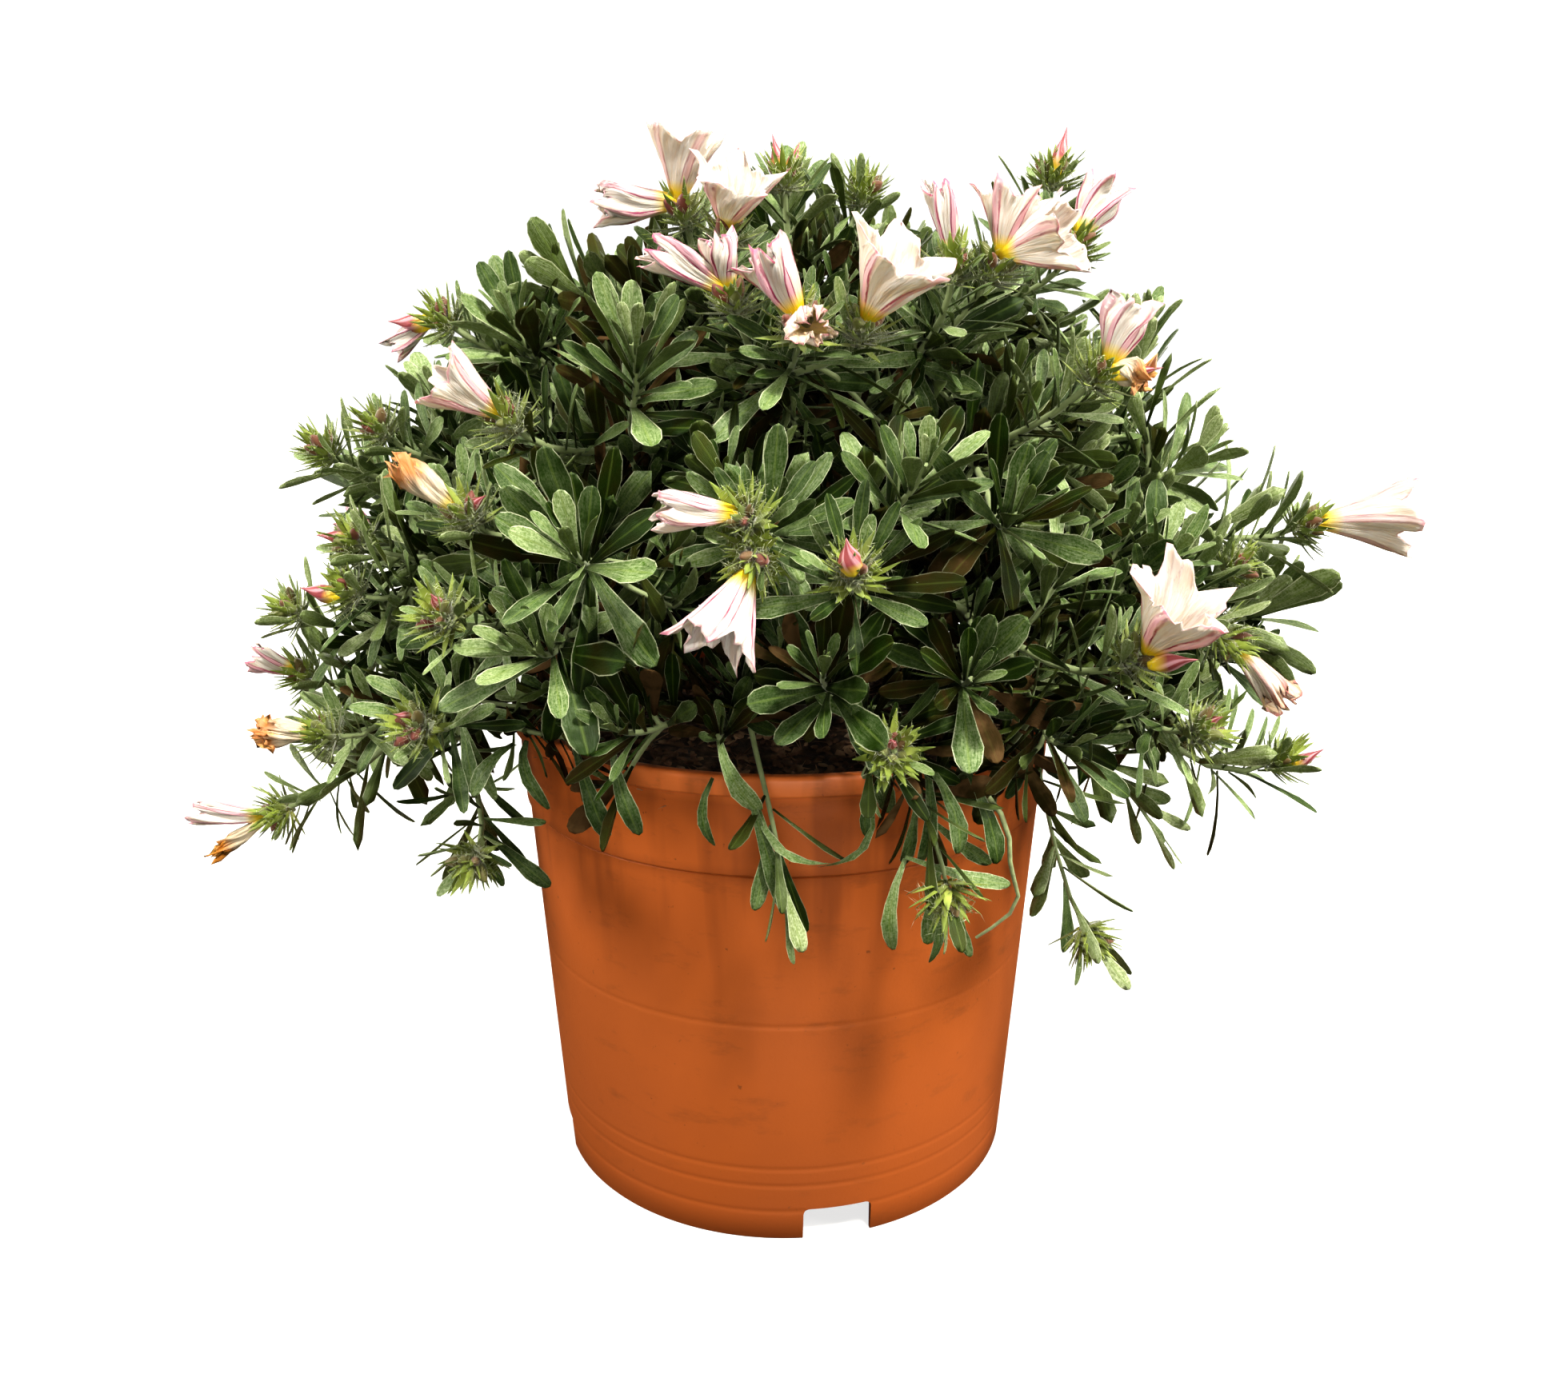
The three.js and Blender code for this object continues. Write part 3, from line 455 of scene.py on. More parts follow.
# a geometry node tree with one named input for each setting
class Grower(Wiring):
    def __init__(self, name, settings):
        super().__init__(bpy.data.node_groups.new(name, "GeometryNodeTree"))
        sockets = self.tree.interface
        for way in ("INPUT", "OUTPUT"):
            sockets.new_socket(name="Geometry", in_out=way, socket_type="NodeSocketGeometry")
        self.settings = settings
        self.ids = {}
        for label, value in settings.items():
            socket = sockets.new_socket(name=label, in_out="INPUT", socket_type=socketKind(value))
            self.ids[label] = socket.identifier
        self.given = self.add("NodeGroupInput")

    def named(self, name, kind="FLOAT"):
        return self.add("GeometryNodeInputNamedAttribute", {"Name": name}, data_type=kind)["Attribute"]

    def picked(self, kind):
        same = {2: self.named("kind", "INT"), 3: kind}
        match = self.add("FunctionNodeCompare", same, data_type="INT", operation="EQUAL")["Result"]
        points = {"Geometry": self.given["Geometry"], "Selection": match}
        return self.add("GeometryNodeSeparateGeometry", points)["Selection"]

    def shape(self, label, single=False):
        inputs = {"Object": self.given[label], "As Instance": single}
        return self.add("GeometryNodeObjectInfo", inputs)["Geometry"]

    def turned(self, euler):
        return self.add("FunctionNodeEulerToRotation", {"Euler": euler})["Rotation"]

    def chance(self, low, high, seed):  # a random vector for each point
        inputs = {0: low, 1: high, "Seed": seed}
        return self.add("FunctionNodeRandomValue", inputs, data_type="FLOAT_VECTOR")[0]

    def placed(self, points, instance, rotation, scale):
        inputs = {"Points": points, "Instance": instance, "Rotation": rotation, "Scale": scale}
        return self.add("GeometryNodeInstanceOnPoints", inputs)["Instances"]

    def real(self, geometry):
        return self.add("GeometryNodeRealizeInstances", {"Geometry": geometry})["Geometry"]

    def joined(self, *parts):
        node = self.tree.nodes.new("GeometryNodeJoinGeometry")
        for part in parts:
            self.feed(node.inputs["Geometry"], part)
        return node.outputs["Geometry"]

    def grow(self, piece, changes):
        modifier = piece.modifiers.new("grow", "NODES")
        modifier.node_group = self.tree
        for label, value in {**self.settings, **changes}.items():
            modifier[self.ids[label]] = value
        return plainMesh(piece, modifier)


sprigSettings = {
    "Leaf shape": leafShape,
    "Old leaf shape": oldLeafShape,
    "Bract shape": bractShape,
    "Knob shape": knobShape,
    "Hair shape": hairShape,
    "Stem sides": 7,
    "Hairs per square metre": 230000.0,
    "Hair length": 0.0034,
    "Hair radius": 0.00007,
    "Seed": 1,
}
leafKind, bractKind, knobKind, stemKind, oldLeafKind = range(5)


# one tree grows a whole sprig from marked points and lines
def sprigTree(settings):
    grower = Grower("growSprig", settings)
    given, add, named = grower.given, grower.add, grower.named

    def planted(kind, label):
        turn = grower.turned(named("turn", "FLOAT_VECTOR"))
        shape = grower.shape(label, single=True)
        put = grower.placed(grower.picked(kind), shape, turn, named("stretch", "FLOAT_VECTOR"))
        # bend each blade along its own length
        reach = named("reach")
        arc = grower.times(grower.times(reach, reach), named("bend"))
        upper = named("upper", "FLOAT_VECTOR")
        bow = add("ShaderNodeVectorMath", {0: upper, "Scale": arc}, operation="SCALE")[0]
        return add("GeometryNodeSetPosition", {"Geometry": grower.real(put), "Offset": bow})["Geometry"]

    leaves = planted(leafKind, "Leaf shape")
    oldLeaves = planted(oldLeafKind, "Old leaf shape")
    bracts = planted(bractKind, "Bract shape")
    knobs = planted(knobKind, "Knob shape")

    line = add("GeometryNodeMeshToCurve", {"Mesh": grower.picked(stemKind)})["Curve"]
    size = {"Resolution": given["Stem sides"], "Radius": 1.0}
    circle = add("GeometryNodeCurvePrimitiveCircle", size)["Curve"]
    along = {"Curve": line, "Profile Curve": circle, "Scale": named("thick"), "Fill Caps": True}
    stems = add("GeometryNodeCurveToMesh", along)["Mesh"]
    bark = add("GeometryNodeSetMaterial", {"Geometry": stems, "Material": stemMat})["Geometry"]

    # short pale hairs on bracts and knobs
    density, seed = given["Hairs per square metre"], given["Seed"]
    over = {"Mesh": grower.joined(knobs, bracts), "Density": density, "Seed": seed}
    spots = add("GeometryNodeDistributePointsOnFaces", over)
    lean = grower.chance((-0.6, -0.6, -0.6), (0.6, 0.6, 0.6), seed)
    aim = add("ShaderNodeVectorMath", {0: spots["Normal"], 1: lean}, operation="ADD")[0]
    turn = add("FunctionNodeAlignRotationToVector", {"Vector": aim}, axis="Z")["Rotation"]
    spread = add("FunctionNodeRandomValue", {2: 0.5, 3: 1.0, "Seed": seed}, data_type="FLOAT")[1]
    radius = given["Hair radius"]
    size = grower.together(radius, radius, grower.times(given["Hair length"], spread))
    hairs = grower.placed(spots["Points"], grower.shape("Hair shape"), turn, size)

    whole = grower.real(grower.joined(hairs, bark, knobs, bracts, oldLeaves, leaves))
    smooth = add("GeometryNodeSetShadeSmooth", {"Geometry": whole})["Geometry"]
    add("NodeGroupOutput", {"Geometry": smooth})
    return grower


sprigGrower = sprigTree(sprigSettings)


# marked points and lines that the tree grows a sprig from
class Bones:
    marks = {"kind": "INT", "turn": "FLOAT_VECTOR", "stretch": "FLOAT_VECTOR", "tone": "FLOAT",
             "bend": "FLOAT", "upper": "FLOAT_VECTOR", "thick": "FLOAT"}

    def __init__(self):
        self.points = []
        self.edges = []
        self.rows = []

    def add(self, place, kind, tone, turn=(0, 0, 0), stretch=(1, 1, 1), bend=0.0, upper=(0, 0, 1), thick=0.0):
        self.points.append(tuple(c * mm for c in place))
        self.rows.append((kind, turn, stretch, tone, bend * mm, tuple(upper), thick * mm))
        return len(self.points) - 1

    def stem(self, places, radii, tone):
        line = [self.add(place, stemKind, tone, thick=radius) for place, radius in zip(places, radii)]
        self.edges += list(zip(line, line[1:]))

    def blade(self, base, direction, upper, size, kind, tone, droop):
        width, depth, length = size
        side = upper.cross(direction).normalized()
        turn = Matrix((side, upper, direction)).transposed().to_euler()
        stretch = (width * mm, depth * mm, length * mm)
        self.add(base, kind, tone, tuple(turn), stretch, -droop * length, upper)

    def arched(self, start, middle, end, width, tone):
        # a parabola through three points
        bow = (start + end) * 2 - middle * 4
        sweep = end - start - bow
        direction = sweep.normalized()
        face = Vector((0.2, -1, 0.6))
        upper = (face - direction * face.dot(direction)).normalized()
        side = upper.cross(direction).normalized()
        turn = Matrix((side, upper, direction)).transposed().to_euler()
        stretch = (width * mm, 2 * mm, sweep.length * mm)
        self.add(start, leafKind, tone, tuple(turn), stretch, bow.length, bow.normalized())

    def grown(self, name, seed):
        mesh = bpy.data.meshes.new(name)
        mesh.from_pydata(self.points, self.edges, [])
        for (label, kind), values in zip(self.marks.items(), zip(*self.rows)):
            mark(mesh, label, values, kind)
        bones = bpy.data.objects.new(name + "Bones", mesh)
        scene.collection.objects.link(bones)
        grown = sprigGrower.grow(bones, {"Seed": seed})
        for label in (*self.marks, "reach"):
            if label != "tone" and label in grown.attributes:
                grown.attributes.remove(grown.attributes[label])
        grown.name = name
        piece = bpy.data.objects.new(name, grown)
        scene.collection.objects.link(piece)
        bpy.data.objects.remove(bones)
        return piece


# the bush's plan, as in the CAD source, in mm
def head(x, y, z, blooms=(), buds=(), aim=None):
    return {"at": Vector((x, y, z)), "blooms": blooms, "buds": buds, "aim": aim, "bracts": True}


def shoot(x, y, z, aim=None):
    return {"at": Vector((x, y, z)), "blooms": (), "buds": (), "aim": aim, "bracts": False}


def bloomOf(kind):
    return lambda x, y, z, length, radius: {
        "kind": kind, "direction": Vector((x, y, z)).normalized(), "length": length, "radius": radius}


opened = bloomOf("opened")
furled = bloomOf("furled")
faded = bloomOf("faded")
withered = bloomOf("withered")
bud = bloomOf("bud")

frontSprigs = {
    "crest_left": [
        head(-29, -60, 324, [opened(0.1, -0.1, 1, 20, 10), furled(-1, -0.1, -0.05, 24, 7)]),
        head(-16, -66, 318, [opened(0.2, -0.5, 0.8, 18, 12)]),
        shoot(-67, -40, 305),
    ],
    "crest_front": [
        head(-14, -95, 300, [furled(-0.86, -0.1, 0.5, 24, 6), furled(-0.15, -0.2, 1, 15, 5.5)]),
        head(4, -100, 294, [furled(-0.5, -0.15, 0.8, 21, 8), faded(0.3, -0.9, -0.2, 13, 6)]),
        head(21, -98, 293, [opened(0.4, -0.35, 0.75, 24, 14)]),
    ],
    "crest_back": [
        head(0, -30, 336, buds=[bud(-0.2, 0, 1, 12, 2.2), bud(0.4, 0, 1, 10, 2)]),
        head(25, -10, 333, buds=[bud(0.1, -0.2, 1, 8, 1.8)]),
    ],
    "crest_right": [
        head(46, -80, 309, [furled(-0.25, -0.1, 1, 21, 4.5)]),
        head(58, -78, 309, [opened(0.2, 0.1, 1, 19, 10), opened(0.85, -0.45, 0.3, 22, 12)]),
    ],
    "top_right": [
        head(85, -10, 338, [bud(0.15, 0, 1, 15, 2.8)]),
        head(87, -40, 316, [furled(0.5, 0.15, 0.9, 20, 8)]),
    ],
    "shoulder_right": [
        head(86, -90, 281, [
            furled(0.3, 0, 0.95, 20, 8), bud(1, -0.2, 0.18, 14, 2.6), withered(0.9, -0.5, -0.3, 11, 4.5)]),
        shoot(60, -118, 246),
    ],
    "shoulder_left": [
        head(-103, -45, 294, [bud(-1, 0, 0.1, 13, 3.2), furled(-0.75, -0.1, -0.6, 17, 4)]),
        shoot(-80, -52, 293),
    ],
    "brow_left": [head(-75, -95, 269, [opened(-0.8, -0.3, 0.5, 21, 9)]), shoot(-40, -98, 288)],
    "left_high": [head(-150, -20, 253), head(-126, -40, 262, buds=[bud(-0.85, 0.2, 0.4, 9, 2)])],
    "left_front": [
        head(-86, -105, 245, [withered(-0.75, -0.2, 0.63, 19, 5)], [bud(0.8, -0.4, 0.6, 8, 1.8)]),
        shoot(-54, -122, 237),
    ],
    "left_mid": [
        head(-131, -58, 230, buds=[bud(-1, -0.1, 0.15, 11, 2.4)]),
        head(-132, -65, 216, [bud(-1, -0.1, 0.25, 12, 3.2)]),
    ],
    "left_low": [
        head(-164, -20, 178, [furled(-1, 0, 0.3, 16, 5)]),
        head(-161, -34, 203),
        head(-140, -75, 174, [withered(-1, -0.1, 0, 17, 4.5)]),
    ],
    "left_belly": [head(-91, -118, 220, buds=[bud(-0.2, -0.6, 0.7, 7, 2)]), shoot(-66, -118, 210)],
    "left_skirt": [
        head(-170, -40, 134, [furled(-1, -0.05, 0.03, 26, 4.5), withered(-0.8, -0.1, -0.6, 22, 3.4)]),
        head(-102, -110, 187, buds=[bud(-0.5, -0.5, 0.3, 7, 1.8)]),
        head(-94, -88, 136, aim=(-0.3, -0.8, -0.35)),
    ],
    "front_high": [
        head(-11, -130, 248, [furled(-1, -0.35, 0.05, 21, 5.5)]),
        head(-8, -134, 236, [opened(-0.4, -0.4, -0.8, 25, 11)], aim=(-0.3, -0.8, -0.5)),
    ],
    "front_mid": [head(17, -135, 236, [bud(-0.2, -0.4, 0.9, 11, 3.4)]), shoot(36, -120, 259)],
    "front_low": [
        head(29, -127, 185, buds=[bud(0, -0.8, 0.4, 6, 1.6)]),
        head(46, -119, 138, aim=(0.15, -0.25, -0.95)),
        shoot(10, -130, 207),
    ],
    "front_left_low": [
        shoot(-18, -112, 184),
        shoot(0, -113, 138, aim=(0.1, -0.2, -0.97)),
        shoot(-45, -118, 188),
    ],
    "right_front": [
        head(95, -115, 208, [opened(0.3, -0.45, 0.75, 24, 14), bud(0.95, -0.3, 0.2, 13, 3)]),
        shoot(49, -125, 204),
        shoot(80, -108, 180),
    ],
    "right_high": [
        head(167, -35, 231, [opened(1, -0.15, 0.03, 32, 12)]),
        shoot(132, -34, 254),
        shoot(114, -24, 290),
    ],
    "right_mid": [
        head(134, -70, 200, [faded(0.6, -0.1, -0.75, 24, 5)]),
        head(142, -48, 220, buds=[bud(0.4, -0.6, 0.5, 7, 2)]),
        shoot(166, -16, 200),
    ],
    "right_low": [
        head(158, -58, 160, [bud(0.8, -0.2, 0.55, 12, 2.3)]),
        head(123, -88, 179, buds=[bud(0.5, -0.5, 0.4, 7, 1.8)]),
    ],
    "right_skirt": [
        head(97, -75, 104, buds=[bud(0.3, 0, -0.9, 7, 1.8)], aim=(0.45, -0.3, -0.7)),
        shoot(120, -52, 134, aim=(0.5, -0.2, -0.8)),
    ],
}

backPlan = {
    "count": 6,
    "start": 8,
    "span": 164,
    "seed": 400,
    # radius, height, turn
    "tiers": [(134, 208, -8), (136, 150, 8), (105, 270, 6), (123, 240, 14), (137, 180, -14)],
    "variety": (4, 10, 12),  # turn, radius, height
    "stretch": 1.15,
    "bloomTiers": {1: 0, 3: 2, 5: 0},
}


def backSprigs(b):
    sprigs = {"back_top": [head(-38, 58, 314), shoot(40, 54, 312), shoot(2, 22, 335)]}
    for k in range(b["count"]):
        draw = randomStream(b["seed"] + k)
        azimuth = b["start"] + k * b["span"] / (b["count"] - 1)
        heads = []
        for tier, (radius, height, turn) in enumerate(b["tiers"]):
            angle = math.radians(azimuth + turn + b["variety"][0] * (draw() - 0.5))
            reach = radius + b["variety"][1] * (draw() - 0.5)
            place = (b["stretch"] * reach * math.cos(angle), reach * math.sin(angle),
                     height + b["variety"][2] * (draw() - 0.5))
            blooms = []
            if b["bloomTiers"].get(k) == tier:
                blooms = [furled(math.cos(angle), math.sin(angle), 0.6, 21, 7)]
            heads.append(head(*place, blooms) if tier == 0 or blooms else shoot(*place))
        sprigs["back_" + str(k + 1)] = heads
    return sprigs


bushPlan = {
    "heart": Vector((0, 0, 185)),
    "crownCentre": Vector((0, 0, 226)),
    "crownRadii": Vector((68, 60, 46)),
    "lowestSlope": -0.35,
    "climb": 26,
    "branchFrom": (176, 256),
    "firstFork": 0.22,
    "forkStep": 0.12,
    "forkLean": 1.1,
    "reach": 0.38,
    "sway": 1.2,
    "upturn": 0.55,
    "hanging": -0.2,  # tips that point lower than this hang
}


def headAim(item, b):
    if item["aim"]:
        return Vector(item["aim"]).normalized()
    outward = (item["at"] - b["heart"]).normalized()
    blooms = item["blooms"]
    sway = sum((bloom["direction"] for bloom in blooms), Vector())
    return (outward + sway * (b["sway"] / max(len(blooms), 1))).normalized()


def turnedUp(aim, share):
    return (aim + upright * share).normalized() if aim.z > bushPlan["hanging"] else aim


def steady(direction):
    return across if abs(direction.z) > 0.8 else upright


def crossAxes(direction, reference):
    first = (reference - direction * reference.dot(direction)).normalized()
    return first, direction.cross(first)


# smooth line from a start and its way to a tip and its way
class Path:
    steps = 40

    def __init__(self, start, lead, tip, aim, reach):
        handle = (tip - start).length * reach
        self.knots = (start, start + lead * handle, tip - aim * handle, tip)
        sideways = lead.cross(aim)
        self.reference = sideways.normalized() if sideways.length > 0.15 else steady(lead)
        points = [self.at(k / self.steps) for k in range(self.steps + 1)]
        self.length = sum((b - a).length for a, b in zip(points, points[1:]))

    def at(self, t):
        a, b, c, d = self.knots
        s = 1 - t
        return a * s ** 3 + b * (3 * s * s * t) + c * (3 * s * t * t) + d * t ** 3

    def way(self, t):
        a, b, c, d = self.knots
        s = 1 - t
        return ((b - a) * (s * s) + (c - b) * (2 * s * t) + (d - c) * (t * t)).normalized()


def sprigPlan(name, heads, b):
    toward = sum((item["at"] for item in heads), Vector()) / len(heads) - b["crownCentre"]
    toward.normalize()
    toward.z = max(toward.z, b["lowestSlope"])
    radii = b["crownRadii"]
    scaled = Vector((toward.x / radii.x, toward.y / radii.y, toward.z / radii.z))
    end = b["crownCentre"] + toward / scaled.length
    rise = clamp(0.5 * (end.z + b["crownCentre"].z) - b["climb"], *b["branchFrom"])
    start = Vector((0, 0, rise))
    way = (end - start).normalized()
    twigs = []
    for index, item in enumerate(heads):
        aim = headAim(item, b)
        if twigs:
            fork = b["firstFork"] + b["forkStep"] * index
            main = twigs[0]["path"]
            root = main.at(fork)
            lead = (main.way(fork) + (item["at"] - root).normalized() * b["forkLean"]).normalized()
        else:
            root, lead = end, way
        turned = turnedUp(aim, b["upturn"])
        path = Path(root, lead, item["at"], turned, b["reach"])
        twigs.append({**item, "aim": aim, "turned": turned, "path": path})
    return {"name": name, "branch": (start, end), "twigs": twigs}


plans = [sprigPlan(name, heads, bushPlan) for name, heads in {**frontSprigs, **backSprigs(backPlan)}.items()]


# side shoots fill the dome between the main tips; each leaves the nearest stem
fillPlans = [
    {
        "count": 440, "depths": (0.80, 1.0), "lowest": -0.30, "clearance": 8.0, "sparse": 1.5,
        "seed": 71, "old": False,
    },
    {
        "count": 150, "depths": (0.50, 0.76), "lowest": -0.10, "clearance": 9.5, "sparse": 1.3,
        "seed": 72, "old": True,
    },
]
dome = {"centre": Vector((0, 0, 196)), "radii": Vector((142, 119, 124)), "turnBack": 30, "behind": 15}


# a bare patch above the rim at the front, where the potting mix shows
soilWindow = {"left": -42, "right": 22, "front": -50, "top": 184}


def inSoilWindow(place):
    w = soilWindow
    return w["left"] < place.x < w["right"] and place.y < w["front"] and place.z < w["top"]


def stemGap(stem, place):
    plan, path, share = stem
    gap = place - path.at(share)
    return gap.length + dome["turnBack"] * max(0.0, 0.2 - gap.normalized().dot(path.way(share)))


def fillShoots(f, tips, stems):
    draw = randomStream(f["seed"])
    for k in range(f["count"]):
        height = mix(f["lowest"], 1.0, (k + 0.5) / f["count"])
        ring = math.sqrt(max(0.0, 1 - height * height))
        angle = k * goldenAngle + 0.3 * draw()
        depth = mix(*f["depths"], draw())
        way = Vector((ring * math.cos(angle), ring * math.sin(angle), height))
        place = dome["centre"] + Vector([w * r * depth for w, r in zip(way, dome["radii"])])
        clearance = f["clearance"] * (f["sparse"] if place.y > dome["behind"] else 1)
        if min((tip - place).length for tip in tips) < clearance or inSoilWindow(place):
            continue
        tips.append(place)
        plan, path, share = min(stems, key=lambda stem: stemGap(stem, place))
        root = path.at(share)
        lead = (path.way(share) + (place - root).normalized()).normalized()
        aim = (place - bushPlan["heart"]).normalized()
        aim = (aim + Vector((draw() - 0.5, draw() - 0.5, draw() + 0.3)) * 0.6).normalized()
        plan["fill"].append({"path": Path(root, lead, place, aim, 0.35), "old": f["old"]})


mainTips = [twig["at"] for plan in plans for twig in plan["twigs"]]
mainStems = [(plan, twig["path"], share / 10)
             for plan in plans for twig in plan["twigs"] for share in range(1, 9)]
for plan in plans:
    plan["fill"] = []
for fillPlan in fillPlans:
    fillShoots(fillPlan, mainTips, mainStems)
tipCount, shootCount = [sum(len(plan[key]) for plan in plans) for key in ("twigs", "fill")]
print("bush planned:", tipCount, "tips and", shootCount, "side shoots")

low, high = [Vector(corner) / mm for corner in cadBox]
inset = 1.0  # mm kept inside the frame's box
potClear = {"rim": 97, "top": 168}


def insideBox(point):
    return all(low[k] + inset < point[k] < high[k] - inset for k in range(3))


# leaves keep off the pot's wall
def clearOfPot(point):
    return point.z > potClear["top"] or math.hypot(point.x, point.y) > potClear["rim"]


# first, step: mm from the tip to the first leaf and between leaves; full: leaves until they are full-grown;
# lowShade: painted shade low on the dome
leafSettings = {
    "shoot": {
        "count": 26, "first": -1.5, "step": 1.05, "tilt": (6, 74), "length": (8, 26), "full": 11,
        "width": 0.255, "shade": 0.60, "lowShade": 0.20, "kind": leafKind,
    },
    "head": {
        "count": 20, "first": 5.5, "step": 1.35, "tilt": (42, 82), "length": (13, 23), "full": 9,
        "width": 0.18, "shade": 0.60, "lowShade": 0.0, "kind": leafKind,
    },
    "side": {
        "count": 16, "first": -1.0, "step": 1.15, "tilt": (8, 76), "length": (7, 20), "full": 8,
        "width": 0.265, "shade": 0.50, "lowShade": 0.34, "kind": leafKind,
    },
    "old": {
        "count": 14, "first": 0.0, "step": 1.8, "tilt": (15, 95), "length": (15, 26), "full": 5,
        "width": 0.25, "shade": 0.20, "lowShade": 0.10, "kind": oldLeafKind,
    },
    "stem": {
        "count": 26, "first": 27.0, "step": 2.6, "tilt": (50, 85), "length": (18, 25), "full": 2,
        "width": 0.24, "shade": 0.34, "lowShade": 0.10, "kind": oldLeafKind,
    },
    "trail": {
        "count": 9, "first": -3.0, "step": 4.4, "tilt": (4, 42), "length": (15, 26), "full": 3,
        "width": 0.22, "shade": 0.66, "lowShade": 0.0, "kind": leafKind, "overRim": True,
    },
}
leafVariety = {"tilt": 22, "turn": 0.7, "roll": 1.5, "least": 0.78, "size": 0.44, "vigour": 0.3, "mood": 0.32}
leafLift = 0.32  # how strongly leaves turn up to the light


# mm kept free round a bloom: beside its petals, from its foot on and past its mouth
bloomRoom = {"margin": 1.5, "foot": 2.5, "beyond": 2}
bloomZones = [
    (twig["at"] + twig["aim"], bloom["direction"], bloom["length"], bloom["radius"] + bloomRoom["margin"])
    for plan in plans for twig in plan["twigs"] for bloom in [*twig["blooms"], *twig["buds"]]
]


# leaves grow round the blooms, not through them
def touchesBloom(base, tip):
    for share in (0.4, 0.7, 1.0):
        point = base.lerp(tip, share)
        for seat, direction, length, radius in bloomZones:
            gap = point - seat
            along = gap.dot(direction)
            room = mix(bloomRoom["foot"], radius, clamp(along / length))
            beside = bloomRoom["foot"] < along < length + bloomRoom["beyond"]
            if beside and (gap - direction * along).length < room:
                return True
    return False


# leaves at the front stay beside the blooms behind them
eye = Vector((0, -cameraSettings["distance"], cameraSettings["height"]))
bloomView = {"shares": (0.15, 0.5, 0.85), "foot": 2.0, "shortest": 10, "near": 55, "margin": 1}
shownSpots = [
    (seat + way * length * share, mix(bloomView["foot"], radius, share))
    for seat, way, length, radius in bloomZones for share in bloomView["shares"]
    if seat.y < 0 and length > bloomView["shortest"]
]


def shadesBloom(base, tip):
    if base.y > 0:
        return False
    for spot, radius in shownSpots:
        if (spot - base).length > bloomView["near"]:
            continue
        sight = (spot - eye).normalized()
        for share in (0.3, 0.65, 1.0):
            gap = base.lerp(tip, share) - spot
            along = gap.dot(sight)
            if along < 0 and (gap - sight * along).length < radius + bloomView["margin"]:
                return True
    return False


# a blade's way out of its stem, its own way and its upper face
def splay(way, axes, angle, tilt):
    first, second = axes
    outward = first * math.cos(angle) + second * math.sin(angle)
    direction = way * math.cos(tilt) + outward * math.sin(tilt)
    return outward, direction, way * math.sin(tilt) - outward * math.cos(tilt)


def leafPlace(path, back, angle, tilt):
    t = clamp(1 - back / path.length, 0.03, 1)
    way = path.way(t)
    centre = path.at(t) + way * max(0.0, -back)
    outward, direction, upper = splay(way, crossAxes(way, path.reference), angle, tilt)
    return centre + outward * 0.8, direction, upper


# how pale a leaf is: young tips are paler; painted light makes the bush's sides paler and painted shade makes
# the low middle darker
toneSettings = {
    "young": 0.20, "inward": 0.12, "chance": 0.70, "sunny": 0.22, "paintedSideLightFrom": 65,
    "shadedUnder": 222, "shadedOver": 160, "fade": 50,
}


def leafTone(s, share, place, mood, chance):
    t = toneSettings
    young = t["young"] * (1 - share) ** 2
    # painted light: leaves on the bush's sides are paler
    sunny = t["sunny"] * clamp((abs(place.x) - t["paintedSideLightFrom"]) / t["fade"])
    # painted shade: leaves low on the dome, above the rim, are darker
    low = clamp((t["shadedUnder"] - place.z) / t["fade"]) if place.z > t["shadedOver"] else 0.0
    bright = s["shade"] + mood + young + sunny + t["chance"] * (chance - 0.5)
    return clamp(bright - t["inward"] * share - s["lowShade"] * low)


def addLeaves(bones, twig, s, draw):
    v = leafVariety
    path = twig["path"]
    start = draw() * 6.28
    vigour = 1 - 0.5 * v["vigour"] + v["vigour"] * draw()
    mood = v["mood"] * (draw() - 0.5)
    for i in range(s["count"]):
        share = i / (s["count"] - 1)
        back = s["first"] + s["step"] * i
        if back > 0.86 * path.length:
            break
        tilt = math.radians(mix(*s["tilt"], share ** 0.8) + v["tilt"] * (draw() - 0.5))
        angle = start + i * goldenAngle + v["turn"] * (draw() - 0.5)
        base, direction, upper = leafPlace(path, back, angle, tilt)
        if path.way(1).z > bushPlan["hanging"]:
            direction = (direction + upright * leafLift).normalized()
            upper = (upper - direction * upper.dot(direction)).normalized()
        roll = v["roll"] * (draw() - 0.5)
        upper = (upper * math.cos(roll) + direction.cross(upper) * math.sin(roll)).normalized()
        grown = mix(*s["length"], clamp(i / s["full"]) ** 0.8)
        length = grown * (v["least"] + v["size"] * draw()) * vigour
        width = length * s["width"] * (v["least"] + v["size"] * draw())
        droop = -0.06 + 0.24 * share * draw() + 0.14 * draw()
        tip = base + direction * length - upper * droop * length
        if not insideBox(tip) or not clearOfPot(tip) or touchesBloom(base, tip) or shadesBloom(base, tip):
            continue
        if not s.get("overRim") and (inSoilWindow(tip) or inSoilWindow(base.lerp(tip, 0.5))):
            continue
        size = (width, 0.05 * length + 0.8, length)
        bones.blade(base, direction, upper, size, s["kind"], leafTone(s, share, base, mood, draw()), droop)


headSettings = {
    "bracts": 60, "length": (6.5, 12.5), "width": 2.5, "tilt": (6, 92),
    "knobs": 5, "knobLength": (4.5, 7.5), "knobTilt": (20, 60), "knobWidth": 0.55,
}


